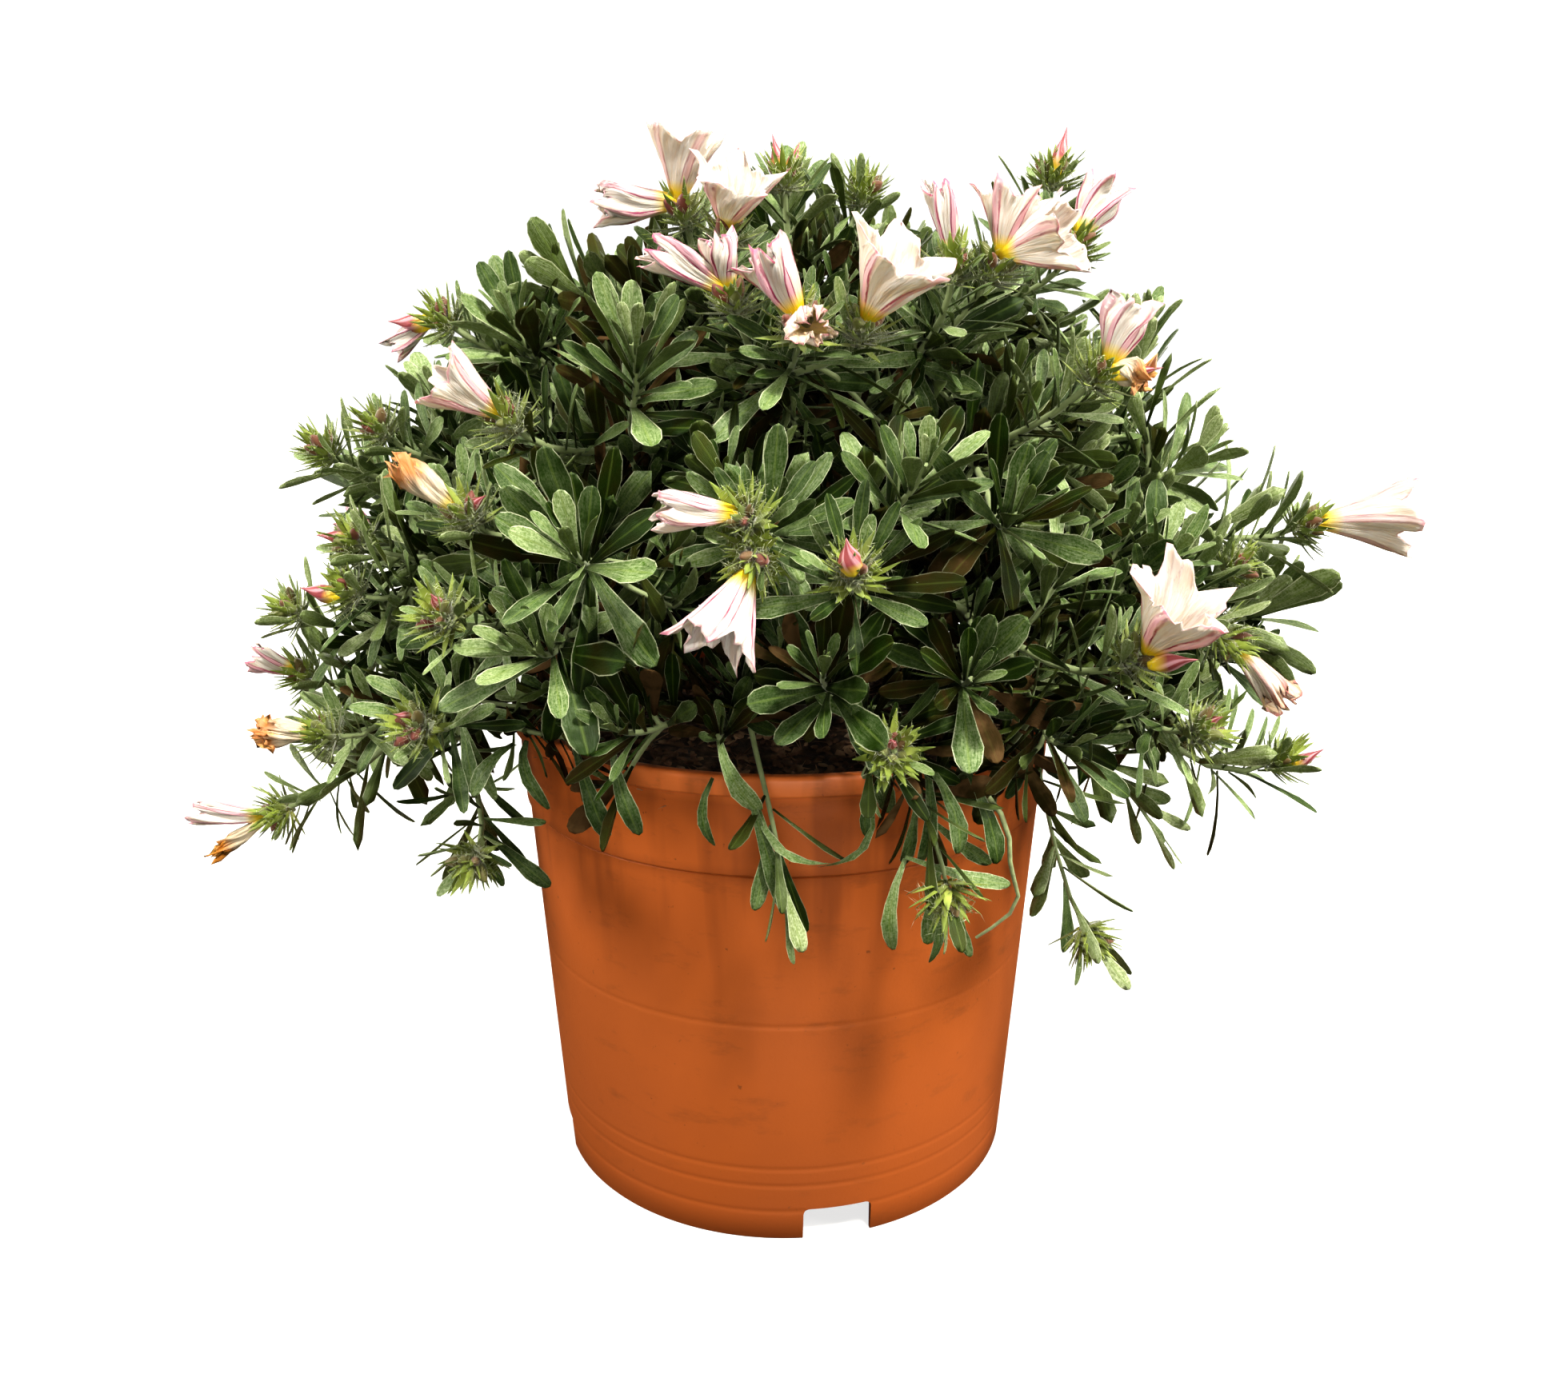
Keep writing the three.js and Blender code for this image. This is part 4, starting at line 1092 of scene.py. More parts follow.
def addHead(bones, twig, s, draw):
    tip, aim = twig["at"], twig["turned"]
    axes = crossAxes(aim, steady(aim))
    for i in range(s["bracts"]):
        share = i / (s["bracts"] - 1)
        tilt = math.radians(mix(*s["tilt"], share ** 0.7) + 16 * (draw() - 0.5))
        outward, direction, upper = splay(aim, axes, i * goldenAngle + 0.6 * draw(), tilt)
        length = mix(*s["length"], draw())
        base = tip - aim * (1.0 + 5.0 * share) + outward * 1.2
        end = base + direction * length
        if insideBox(end) and clearOfPot(end) and not touchesBloom(base, end):
            size = (s["width"] * (0.8 + 0.4 * draw()), 1.0, length)
            tone = clamp(0.25 + 0.6 * draw())
            bones.blade(base, direction, upper, size, bractKind, tone, -0.25 * share * draw() - 0.02)
    for i in range(s["knobs"]):
        tilt = math.radians(mix(*s["knobTilt"], draw()))
        outward, direction, upper = splay(aim, axes, (i + 0.4 * draw()) * 2 * math.pi / s["knobs"], tilt)
        length = mix(*s["knobLength"], draw())
        width = s["knobWidth"] * length
        base = tip - aim * 1.5 + outward * 1.4
        bones.blade(base, direction, upper, (width, width, length), knobKind, draw(), 0)


# radii at the foot and at the tip
stemSettings = {
    "main": (1.4, 0.95), "fork": (1.15, 0.85), "side": (0.8, 0.7), "trail": (1.0, 0.6),
    "steps": 9, "sideSteps": 5,
}


def addStem(bones, path, radii, tone, steps):
    shares = [k / steps for k in range(steps + 1)]
    bones.stem([path.at(t) for t in shares], [mix(*radii, t) for t in shares], tone)


def camel(name):
    first, *rest = name.split("_")
    return first + "".join(word.capitalize() for word in rest)


def finishPiece(piece, slot, *nodes):
    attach(piece, "root")
    if nodes:
        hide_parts(*nodes)


# single leaves that hang over the rim: start, middle, end, width, tone
hungLeaves = {
    "front_left_low": [
        ((-18, -110, 183), (-14, -113, 172), (-7, -109, 161), 7.0, 0.85),
        ((-10, -108, 168), (-5, -111, 150), (1, -106, 128), 5.8, 0.62),
        ((-8, -107, 164), (-1, -113, 151), (13, -113, 147), 4.6, 0.80),
        ((25, -105, 163), (22, -112, 151), (9, -113, 146), 4.2, 0.74),
        ((-20, -106, 170), (-23, -108, 160), (-20, -107, 150), 4.6, 0.55),
        ((-74, -94, 177), (-73, -104, 171), (-67, -105, 160), 6.0, 0.60),
        ((-60, -97, 177), (-55, -105, 165), (-50, -107, 152), 6.2, 0.50),
        ((-49, -98, 177), (-46, -105, 166), (-41, -107, 153), 6.0, 0.55),
        ((-78, -94, 176), (-84, -101, 172), (-89, -102, 163), 5.4, 0.70),
    ],
    "front_low": [
        ((34, -113, 149), (50, -117, 145), (64, -112, 140), 4.6, 0.80),
        ((34, -112, 148), (30, -114, 134), (31, -110, 119), 5.4, 0.85),
        ((41, -113, 142), (44, -114, 128), (42, -110, 115), 3.6, 0.60),
        ((40, -108, 175), (47, -114, 163), (49, -113, 150), 6.2, 0.60),
        ((50, -106, 175), (57, -113, 160), (60, -111, 146), 6.0, 0.50),
        ((38, -104, 179), (41, -112, 162), (38, -111, 146), 5.0, 0.55),
        ((26, -105, 168), (23, -109, 161), (23, -108, 153), 3.8, 0.50),
    ],
}


# a dry stem that hangs over the rim at the right
dryStem = {
    "sprig": "front_low",
    "girths": (0.9, 0.45),
    "places": [(50, -96, 169), (56, -103, 166), (61, -108, 160), (63.5, -109, 153), (64, -109, 146),
               (65.5, -109, 140), (67, -108, 135), (65, -107, 129), (60, -106, 124), (56, -104, 120)],
}


def addDryStem(bones, d):
    last = len(d["places"]) - 1
    girths = [mix(*d["girths"], k / last) for k in range(last + 1)]
    bones.stem([Vector(place) for place in d["places"]], girths, 0.55)


growthSeeds = {"leaves": 1000, "hairs": 7}


def growSprigs():
    for number, plan in enumerate(plans):
        draw = randomStream(growthSeeds["leaves"] + number)
        bones = Bones()
        for index, twig in enumerate(plan["twigs"]):
            kind = "head" if twig["bracts"] else "shoot"
            girth = "fork" if index else "main"
            if twig["aim"].z < bushPlan["hanging"] - 0.3:
                kind, girth = "trail", "trail"
            addStem(bones, twig["path"], stemSettings[girth], 0.9, stemSettings["steps"])
            addLeaves(bones, twig, leafSettings[kind], draw)
            addLeaves(bones, twig, leafSettings["stem"], draw)
            if twig["bracts"]:
                addHead(bones, twig, headSettings, draw)
        for twig in plan["fill"]:
            addStem(bones, twig["path"], stemSettings["side"], 0.8, stemSettings["sideSteps"])
            addLeaves(bones, twig, leafSettings["old" if twig["old"] else "side"], draw)
        if plan["name"] == dryStem["sprig"]:
            addDryStem(bones, dryStem)
        for start, middle, end, width, tone in hungLeaves.get(plan["name"], []):
            bones.arched(Vector(start), Vector(middle), Vector(end), width, tone)
        piece = bones.grown("sprig" + camel(plan["name"]).capitalize(), growthSeeds["hairs"] + number)
        finishPiece(piece, "silver_leaves", "sprig_" + plan["name"])


growSprigs()
print("sprigs grown")

crownSettings = {
    "trunk": [(139.3, 8.0), (158, 8.2), (166, 7.0), (200, 5.6), (235, 5.0), (262, 4.5)],  # height, radius
    "slimmer": 0.97,  # the trunk stays just inside the frame's one
    "branch": (2.6, 1.9),
    "branchSteps": 4,
    "straightness": 0.33,
    "seed": 31,
    "leaves": 16,
    "length": (22, 33),
    "width": (0.19, 0.27),
    "tilt": (40, 95),
}


def growCrown(c):
    draw = randomStream(c["seed"])
    bones = Bones()
    sway = [Vector((0.8 * math.sin(z / 23), 0.8 * math.cos(z / 17), z)) for z, _ in c["trunk"]]
    sway[0] = Vector((0, 0, c["trunk"][0][0]))
    bones.stem(sway, [radius * c["slimmer"] for _, radius in c["trunk"]], 0.1)
    for plan in plans:
        start, end = plan["branch"]
        way = (end - start).normalized()
        path = Path(start, way, end, way, c["straightness"])
        addStem(bones, path, c["branch"], 0.2, c["branchSteps"])
        for i in range(c["leaves"]):
            back = path.length * mix(0.02, 0.7, i / c["leaves"])
            tilt = math.radians(mix(*c["tilt"], draw()))
            base, direction, upper = leafPlace(path, back, i * goldenAngle + draw(), tilt)
            length = mix(*c["length"], draw())
            size = (length * mix(*c["width"], draw()), 1.5, length)
            bones.blade(base, direction, upper, size, oldLeafKind, 0.26 * draw() ** 1.5, 0.35 * draw())
    finishPiece(bones.grown("crownWood", 5), "old_growth", "crown")


growCrown(crownSettings)
print("crown grown")


# a closed tube of rows round Z: uv = (turn, reach), marks tell its inside from its outside
def skinMesh(name, rows, reaches, marks, startPole, endPole):
    sides = len(rows[0])
    last = (len(rows) - 1) * sides
    points = [point for row in rows for point in row] + [startPole, endPole]
    faces = []
    corners = []

    def corner(k, reach):
        return (k / sides, reach)

    for r, (near, far) in enumerate(zip(reaches, reaches[1:])):
        for k in range(sides):
            a, b = r * sides + k, r * sides + (k + 1) % sides
            faces.append((a, b, b + sides, a + sides))
            corners.append([corner(k, near), corner(k + 1, near), corner(k + 1, far), corner(k, far)])
    for k in range(sides):
        faces.append((last + sides, (k + 1) % sides, k))
        corners.append([corner(c, reaches[0]) for c in (k + 0.5, k + 1, k)])
    for k in range(sides):
        faces.append((last + sides + 1, last + k, last + (k + 1) % sides))
        corners.append([corner(c, reaches[-1]) for c in (k + 0.5, k, k + 1)])
    mesh = bpy.data.meshes.new(name)
    mesh.from_pydata(points, [], faces)
    wrap(mesh, corners)
    mark(mesh, "inside", [value for value in marks for _ in range(sides)] + [marks[0], marks[-1]])
    mesh.shade_smooth()
    return mesh


petalFinish = {
    "white": (0.63, 0.58, 0.54),
    "cream": (0.52, 0.40, 0.32),
    "pink": (0.64, 0.34, 0.40),
    "line": (0.24, 0.014, 0.070),
    "yellow": (0.78, 0.56, 0.02),
    "rust": (0.50, 0.17, 0.015),
    "parched": (0.62, 0.50, 0.36),
    "golden": (0.66, 0.44, 0.12),
    "red": (0.23, 0.016, 0.028),
    "paintedCreaseShade": (0.46, 0.33, 0.33),
    "edge": (0.46, 0.09, 0.18),
}


def petalMaterial(s):
    paint = Paint("foldedPetal")
    u, v = paint.uvParts()
    inside, blush, wilt = [paint.attribute(name) for name in ("inside", "blush", "wilt")]
    grain = paint.noise(220, 3)
    ragged = paint.varied(v, grain, 0.09)
    # fine lengthwise veins and creases
    veins = paint.noise(1.0, 3, at=paint.together(paint.times(u, 70), paint.times(v, 3)))
    fold = paint.math("FRACT", paint.scaled(u, 5, 0.5))
    off = paint.varied(paint.math("ABSOLUTE", paint.math("SUBTRACT", fold, 0.5)), grain, 0.09)
    # each fold's band narrows to the tip and has a darker line along its edges
    gap = paint.math("SUBTRACT", paint.scaled(v, -0.17, 0.23), off)
    fill = paint.times(gap, 12, limit=True)
    away = paint.math("ABSOLUTE", paint.math("SUBTRACT", gap, 0.015))
    line = paint.math("SUBTRACT", 1.25, paint.times(away, 30), limit=True)
    tinted = paint.times(blush, paint.scaled(inside, -0.9, 1.0))
    patchy = paint.ramp(grain, [(0.3, 0.45), (0.6, 1.0)])
    fading = paint.ramp(v, [(0.5, 1.0), (1.0, 0.55)])
    pinkness = paint.times(paint.times(fill, tinted), 0.85, limit=True)
    lineness = paint.times(paint.times(paint.times(line, tinted), patchy, limit=True), fading)
    tan = paint.ramp(veins, [(0.35, 0.7), (0.6, 0.0)])
    # painted shade: darker lines along the creases inside the funnel
    paintedCreaseShade = paint.times(paint.ramp(veins, [(0.47, 0.0), (0.50, 0.7), (0.53, 0.0)]), inside)
    rim = paint.ramp(ragged, [(0.955, 0.0), (0.985, 0.6)])
    rim = paint.times(rim, paint.times(tinted, patchy), limit=True)
    foot = paint.ramp(ragged, [(0.13, 1.0), (0.30, 0.0)])
    # withered blooms are tan with a rusty mouth
    mouth = paint.ramp(ragged, [(0.62, 0.0), (0.84, 1.0)])
    dry = paint.blend(foot, paint.blend(mouth, s["parched"], s["rust"]), s["yellow"])
    stamens = paint.times(inside, paint.times(wilt, 3.5, limit=True))
    stamens = paint.times(stamens, paint.ramp(v, [(0.70, 1.0), (0.92, 0.25)]))
    colour = s["white"]
    for share, layer in (
        (tan, s["cream"]), (paintedCreaseShade, s["paintedCreaseShade"]), (pinkness, s["pink"]), (lineness, s["line"]),
        (rim, s["edge"]), (foot, s["yellow"]), (wilt, dry), (stamens, s["golden"]),
    ):
        colour = paint.blend(share, colour, layer)
    return paint.finish({
        "Base Color": colour,
        "Roughness": paint.scaled(grain, 0.2, 0.42),
        "Specular IOR Level": 0.3,
        "Subsurface Weight": 0.2,
        "Subsurface Radius": (0.004, 0.003, 0.002),
        "Subsurface Scale": 0.5,
        "Normal": paint.bump(veins, 0.7, 0.0009),
    })


def budMaterial(s):
    paint = Paint("rolledBud")
    u, v = paint.uvParts()
    grain = paint.noise(260, 3)
    spiral = paint.math("FRACT", paint.scaled(v, 1.3, paint.times(u, 5)))
    stripe = paint.ramp(spiral, [(0.0, 1.0), (0.5, 1.0), (0.72, 0.25), (0.95, 0.5)])
    colour = paint.blend(stripe, s["pink"], s["red"])
    colour = paint.blend(paint.times(grain, 0.15), colour, s["cream"])
    return paint.finish({
        "Base Color": paint.blend(paint.ramp(v, [(0.12, 1.0), (0.42, 0.0)]), colour, s["yellow"]),
        "Roughness": 0.48,
        "Sheen Weight": 0.05,
        "Subsurface Weight": 0.05,
        "Subsurface Scale": 0.002,
    })


petalMat = petalMaterial(petalFinish)
budMat = budMaterial(petalFinish)

# shares of length and mouth radius; pleat, crumple and flare are in mouth radii
bloomSettings = {
    "opened": {
        "foot": 1.5, "power": 0.95, "closing": 0.06, "pleat": 0.24, "lobe": 0.22, "sharp": 0.75,
        "crimp": 0.06, "curl": 0.10, "twist": 0.3, "crumple": 0.14, "crease": 0.07, "ragged": 0.05,
        "flare": 0.12, "blush": 0.95, "wilt": 0.0,
    },
    "furled": {
        "foot": 1.5, "power": 0.75, "closing": 0.24, "pleat": 0.36, "lobe": 0.22, "sharp": 0.8,
        "crimp": 0.08, "curl": 0.15, "twist": 0.8, "crumple": 0.24, "crease": 0.13, "ragged": 0.08,
        "flare": 0.05, "blush": 1.5, "wilt": 0.0,
    },
    "faded": {
        "foot": 1.4, "power": 0.75, "closing": 0.15, "pleat": 0.32, "lobe": 0.12, "sharp": 0.6,
        "crimp": 0.12, "curl": 0.45, "twist": 0.9, "crumple": 0.30, "crease": 0.14, "ragged": 0.16,
        "flare": 0.0, "blush": 1.3, "wilt": 0.20,
    },
    "withered": {
        "foot": 1.2, "power": 0.75, "closing": 0.48, "pleat": 0.30, "lobe": 0.08, "sharp": 0.5,
        "crimp": 0.12, "curl": 0.9, "twist": 1.3, "crumple": 0.50, "crease": 0.26, "ragged": 0.20,
        "flare": 0.0, "blush": 0.7, "wilt": 0.85,
    },
}
funnelGrid = {"sides": 60, "rows": 13, "wall": 0.35, "innerFrom": 3}
budSettings = {"sides": 20, "rows": 12, "fullness": 0.88, "groove": 0.09}


def funnelRows(length, radius, s, seed, sides, rows):
    outer = []
    shift = Vector((seed * 3.1, 0, 0))
    for r in range(rows + 1):
        share = r / rows
        ring = []
        for k in range(sides):
            theta = 2 * math.pi * k / sides
            wave = theta + 0.16 * share * math.sin(5 * theta + seed)
            point = mix(abs(math.cos(2.5 * wave)), 1 - abs(math.sin(2.5 * wave)), s["sharp"])
            shut = 1 - s["closing"] * clamp((share - 0.5) / 0.5) ** 1.5
            reach = mix(s["foot"], radius, share ** s["power"]) * shut
            reach *= 1 + s["pleat"] * share ** 0.7 * (1.6 * point - 1.0)
            reach += radius * s["flare"] * share ** 5 * (point - 0.3)
            spot = Vector((math.cos(theta) * 1.3, math.sin(theta) * 1.3, share * 1.6)) + shift
            fine = Vector((math.cos(theta) * 4.2, math.sin(theta) * 4.2, share * 2.4)) + shift
            reach += radius * s["crumple"] * share * share * noise.noise(spot) * 2
            reach += radius * s["crease"] * share * noise.noise(fine) * 2
            reach += radius * s["curl"] * share ** 5 * noise.noise(spot * 6)
            reach += radius * s["crimp"] * share ** 3 * math.cos(10 * wave)
            rise = length * share * (1 - s["lobe"] * share * share * (1 - point))
            rise += length * s["ragged"] * share ** 4 * noise.noise(fine + Vector((0, 9, 0))) * 2
            turn = theta + s["twist"] * share * share
            ring.append(Vector((reach * math.cos(turn), reach * math.sin(turn), rise)))
        outer.append(ring)
    return outer


def funnelMesh(name, length, radius, s, seed, g):
    sides, rows = g["sides"], g["rows"]
    outer = funnelRows(length, radius, s, seed, sides, rows)
    down = range(rows, g["innerFrom"] - 1, -1)
    lift = Vector((0, 0, 0.02))
    inner = []
    for r in down:
        centre = sum(outer[r], Vector()) / sides
        inner.append([point + (centre - point).normalized() * g["wall"] + lift for point in outer[r]])
    reaches = [r / rows for r in (*range(rows + 1), *down)]
    marks = [0.0] * len(outer) + [1.0] * len(inner)
    floor = sum(inner[-1], Vector()) / sides - Vector((0, 0, 0.1 * length))
    return skinMesh(name, outer + inner, reaches, marks, Vector((0, 0, -0.2)), floor)


def budMesh(name, length, radius, b):
    sides, rows = b["sides"], b["rows"]
    rings = []
    for r in range(rows):
        share = r / rows
        belly = 0.45 + 0.55 * math.sin(math.pi * min(1, share * 1.25) ** 0.9)
        reach = b["fullness"] * radius * belly * (1 - share ** 3)
        ring = []
        for k in range(sides):
            theta = 2 * math.pi * k / sides
            girth = reach * (1 + b["groove"] * math.cos(5 * theta + 8 * share))
            ring.append(Vector((girth * math.cos(theta), girth * math.sin(theta), length * share)))
        rings.append(ring)
    reaches = [r / rows for r in range(rows)]
    return skinMesh(name, rings, reaches, [0.0] * rows, Vector((0, 0, -0.2)), Vector((0, 0, length)))


def stand(mesh, base, direction, bow):
    first, second = crossAxes(direction, steady(direction))
    turn = Matrix((first, second, direction)).transposed()
    for vertex in mesh.vertices:
        local = vertex.co.copy()
        local.x += bow * local.z * local.z
        vertex.co = (turn @ local + base) * mm


# draw a part that pokes out of the frame's box back towards its foot
def keepInside(mesh, base):
    share = 1.0
    for vertex in mesh.vertices:
        for k in range(3):
            edge = (high[k] - 0.3) * mm if vertex.co[k] > base[k] * mm else (low[k] + 0.3) * mm
            if (vertex.co[k] - edge) * (edge - base[k] * mm) > 0:
                share = min(share, (edge - base[k] * mm) / (vertex.co[k] - base[k] * mm))
    if share < 1:
        for vertex in mesh.vertices:
            vertex.co = base * mm + (vertex.co - base * mm) * share


def bloomPart(bloom, base, seed):
    draw = randomStream(seed)
    if bloom["kind"] == "bud":
        mesh = budMesh("budPart", bloom["length"], bloom["radius"], budSettings)
        mesh.materials.append(budMat)
        stand(mesh, base, bloom["direction"], 0.004 * (draw() - 0.5))
        blush, wilt = 1.0, 0.0
    else:
        s = bloomSettings[bloom["kind"]]
        mesh = funnelMesh("funnelPart", bloom["length"], bloom["radius"], s, seed, funnelGrid)
        mesh.materials.append(petalMat)
        stand(mesh, base, bloom["direction"], 0.006 * (draw() - 0.5))
        blush = s["blush"] * (0.6 + 0.6 * draw())
        drier = 2.0 if bloom["direction"].z < -0.3 else 1.0  # blooms that droop
        wilt = min(1.0, s["wilt"] * drier)
    keepInside(mesh, base)
    mark(mesh, "blush", [blush] * len(mesh.vertices))
    mark(mesh, "wilt", [wilt] * len(mesh.vertices))
    return mesh


def joinParts(name, meshes):
    objects = []
    for mesh in meshes:
        part = bpy.data.objects.new(name, mesh)
        scene.collection.objects.link(part)
        objects.append(part)
    if len(objects) > 1:
        with bpy.context.temp_override(active_object=objects[0], object=objects[0],
                                       selected_objects=objects, selected_editable_objects=objects):
            bpy.ops.object.join()
    objects[0].name = name
    objects[0].data.name = name
    return objects[0]


budShift = Vector((0, -2.5, -2.5))  # a bud sits below and before the bloom beside it


def makeBlooms():
    for plan in plans:
        number = 0
        buds = []
        for index, twig in enumerate(plan["twigs"]):
            seat = twig["at"] + twig["aim"] * 0.3
            if twig["blooms"]:
                number += 1
                shared = len(twig["blooms"]) > 1
                parts = []
                for k, bloom in enumerate(twig["blooms"]):
                    lift = 1.5 if shared else 1.9 * bloom["direction"].cross(twig["aim"]).length
                    base = seat + twig["aim"] * lift
                    if bloom["kind"] == "bud":
                        base += budShift
                    parts.append(bloomPart(bloom, base, 50 + 7 * len(plan["name"]) + 3 * number + k))
                node = "bloom_" + plan["name"] + "_" + str(number)
                piece = joinParts(camel(node), parts)
                finishPiece(piece, "petals", node)
            for bloom in twig["buds"]:
                aside, _ = crossAxes(twig["aim"], bloom["direction"])
                buds.append(bloomPart(bloom, twig["at"] - twig["aim"] * 0.9 + aside * 1.3, 90 + index))
        if buds:
            finishPiece(joinParts(camel("buds_" + plan["name"]), buds), "petals")


makeBlooms()
print("blooms made")

# pot: one turned wall with a rolled rim, a proud band, faint rings and foot notches
potSettings = {
    "rimRadius": 95, "rimTop": 166, "rimHeight": 6.5, "wallTop": 92.6,
    "bandWall": 90.4, "bandHeight": 133, "bandStep": 0.9,
    "base": 81.6, "wall": 1.8, "floorTop": 14, "floor": 1.8, "sides": 160,
    "rings": [11, 21, 27.5, 81], "ringDepth": 0.15, "plainHeight": 105,
    "notchWidth": 23, "notchHeight": 11.7, "notchCorner": 2.2, "notchReach": (70, 92),
    "notches": 4, "firstNotch": -77.5, "drainRadius": 5, "drainCircle": 60, "drainSides": 24,
    "sharpFrom": 38,
}


def wallRadius(z, p=potSettings):
    return mix(p["base"], p["bandWall"], z / p["bandHeight"])


def arc(centreR, centreZ, radius, start, end, steps):
    return [(centreR + radius * math.cos(math.radians(mix(start, end, k / steps))),
             centreZ + radius * math.sin(math.radians(mix(start, end, k / steps)))) for k in range(steps + 1)]


def potProfile(p):
    rimBottom = p["rimTop"] - p["rimHeight"]
    skirt = p["base"] - p["wall"]
    outer = [(p["base"] - 0.5, 0.0), (p["base"], 0.6)]
    for z in p["rings"]:
        outer += [(wallRadius(z + d), z + d) for d in (-1.8, -0.7)]
        outer.append((wallRadius(z) - p["ringDepth"], z))
        outer += [(wallRadius(z + d), z + d) for d in (0.7, 1.8)]
    outer += [(wallRadius(z), z) for z in (p["plainHeight"], p["bandHeight"] - 3)]
    outer += [(p["bandWall"], p["bandHeight"] - 0.6), (p["bandWall"] - 0.5, p["bandHeight"] - 0.1)]
    outer += arc(p["bandWall"] + p["bandStep"] - 0.6, p["bandHeight"] + 0.8, 0.6, -80, 0, 4)
    outer.append((p["bandWall"] + p["bandStep"] + 0.03, p["bandHeight"] + 3))
    outer.append((p["wallTop"] - 0.1, rimBottom - 4))
    outer += arc(p["wallTop"] + 0.6, rimBottom - 0.6, 0.6, 180, 90, 3)
    outer += arc(p["rimRadius"] - 0.9, rimBottom + 0.9, 0.9, -90, 0, 4)
    outer += arc(p["rimRadius"] - 1.6, p["rimTop"] - 1.6, 1.6, 0, 90, 6)
    inside = wallRadius(p["rimTop"]) - p["wall"]
    outer += arc(inside + 0.8, p["rimTop"] - 0.8, 0.8, 90, 180, 4)
    outer += [(wallRadius(p["floorTop"]) - p["wall"], p["floorTop"])]
    under = p["floorTop"] - p["floor"]
    return outer, [(skirt, under), (skirt, 0.5), (skirt + 0.3, 0.0)]


# a bmesh turned from a profile, closed at both ends by a pole
def lathe(profile, sides, capLow, capHigh):
    shape = bmesh.new()
    rows = turnRows(shape, profile, sides)
    for row, height in ((rows[0], capLow), (rows[-1], capHigh)):
        pole = shape.verts.new((0, 0, height))
        for k in range(sides):
            shape.faces.new((row[k], row[(k + 1) % sides], pole))
    bmesh.ops.recalc_face_normals(shape, faces=shape.faces)
    return shape


def meshObject(name, shape, scale=mm):
    bmesh.ops.scale(shape, vec=(scale, scale, scale), verts=shape.verts)
    result = meshFrom(name, shape)
    scene.collection.objects.link(result)
    return result


def notchCutter(p):
    cutter = bmesh.new()
    half, top, corner = p["notchWidth"] / 2, p["notchHeight"], p["notchCorner"]
    outline = [(-half, -4), (half, -4), (half, top - corner)]
    outline += arc(half - corner, top - corner, corner, 0, 90, 5)[1:]
    outline += arc(-half + corner, top - corner, corner, 90, 180, 5)
    count = len(outline)
    for k in range(p["notches"]):
        angle = math.radians(p["firstNotch"] + 360 / p["notches"] * k)
        turn = Matrix.Rotation(angle, 3, "Z")
        near, far = [[cutter.verts.new(turn @ Vector((reach, y, z))) for y, z in outline]
                     for reach in p["notchReach"]]
        for j in range(count):
            cutter.faces.new((near[j], near[(j + 1) % count], far[(j + 1) % count], far[j]))
        cutter.faces.new(near)
        cutter.faces.new(list(reversed(far)))
        radius, circle = p["drainRadius"], p["drainCircle"]
        drain = bmesh.ops.create_cone(cutter, cap_ends=True, segments=p["drainSides"], radius1=radius,
                                      radius2=radius, depth=3 * p["floor"])
        spot = Vector((circle * math.cos(angle), circle * math.sin(angle), p["floorTop"] - 1))
        bmesh.ops.translate(cutter, vec=spot, verts=drain["verts"])
    bmesh.ops.recalc_face_normals(cutter, faces=cutter.faces)
    return meshObject("notchCutter", cutter)


potFinish = {
    "body": (0.385, 0.097, 0.019),
    "band": (0.58, 0.140, 0.025),
    "lip": (0.84, 0.225, 0.055),
    "dull": (0.29, 0.070, 0.013),
    "grime": (0.12, 0.028, 0.008),
    "smudge": (0.15, 0.045, 0.012),
}


# ramps over the height are in metres
def potMaterial(s):
    paint = Paint("nurseryPlastic")
    height = paint.apart(paint.place)[2]
    clouds = paint.noise(22, 4, 0.55)
    drips = paint.noise(60, 3, 0.6, stretch=(1, 1, 0.10))
    smears = paint.noise(34, 5, 0.7, stretch=(1, 1, 2.6))
    specks = paint.noise(420, 2)
    below = paint.ramp(height, [(0.085, 0.0), (0.120, 1.0), (0.150, 0.7)])
    around = paint.ramp(height, [(0.015, 0.5), (0.060, 1.0), (0.110, 0.7)])
    # painted shade: dark lines under the band's step and under the rim's lip
    grime = [(0.1295, 0.0), (0.1322, 0.45), (0.1336, 0.0), (0.1560, 0.0), (0.1588, 0.75), (0.1600, 0.0)]
    colour = s["body"]
    for share, layer in (
        (paint.ramp(clouds, [(0.35, 0.0), (0.7, 0.5)]), "dull"),
        # painted shade: the wall is darker towards the bottom
        (paint.ramp(height, [(0.0, 1.0), (0.075, 0.0)]), "dull"),
        # painted light: the upper wall and band are lighter where the foliage shades them
        (paint.ramp(height, [(0.085, 0.0), (0.150, 1.0)]), "band"),
        # painted light: the rim's rolled lip is lighter on top
        (paint.ramp(height, [(0.156, 0.0), (0.160, 1.0)]), "lip"),
        (paint.ramp(height, grime), "grime"),
        # vertical drips under the rim, smears and scuffs lower down
        (paint.times(paint.ramp(drips, [(0.50, 0.0), (0.64, 0.8)]), below), "dull"),
        (paint.times(paint.ramp(smears, [(0.56, 0.0), (0.70, 0.5)]), around), "smudge"),
        (paint.ramp(specks, [(0.72, 0.0), (0.78, 0.7)]), "smudge"),
    ):
        colour = paint.blend(share, colour, s[layer])
    return paint.finish({
        "Base Color": colour,
        "Roughness": paint.scaled(clouds, 0.25, 0.34),
        "Specular IOR Level": 0.42,
        "Normal": paint.bump(paint.noise(900, 2), 0.08, 0.0004),
    })


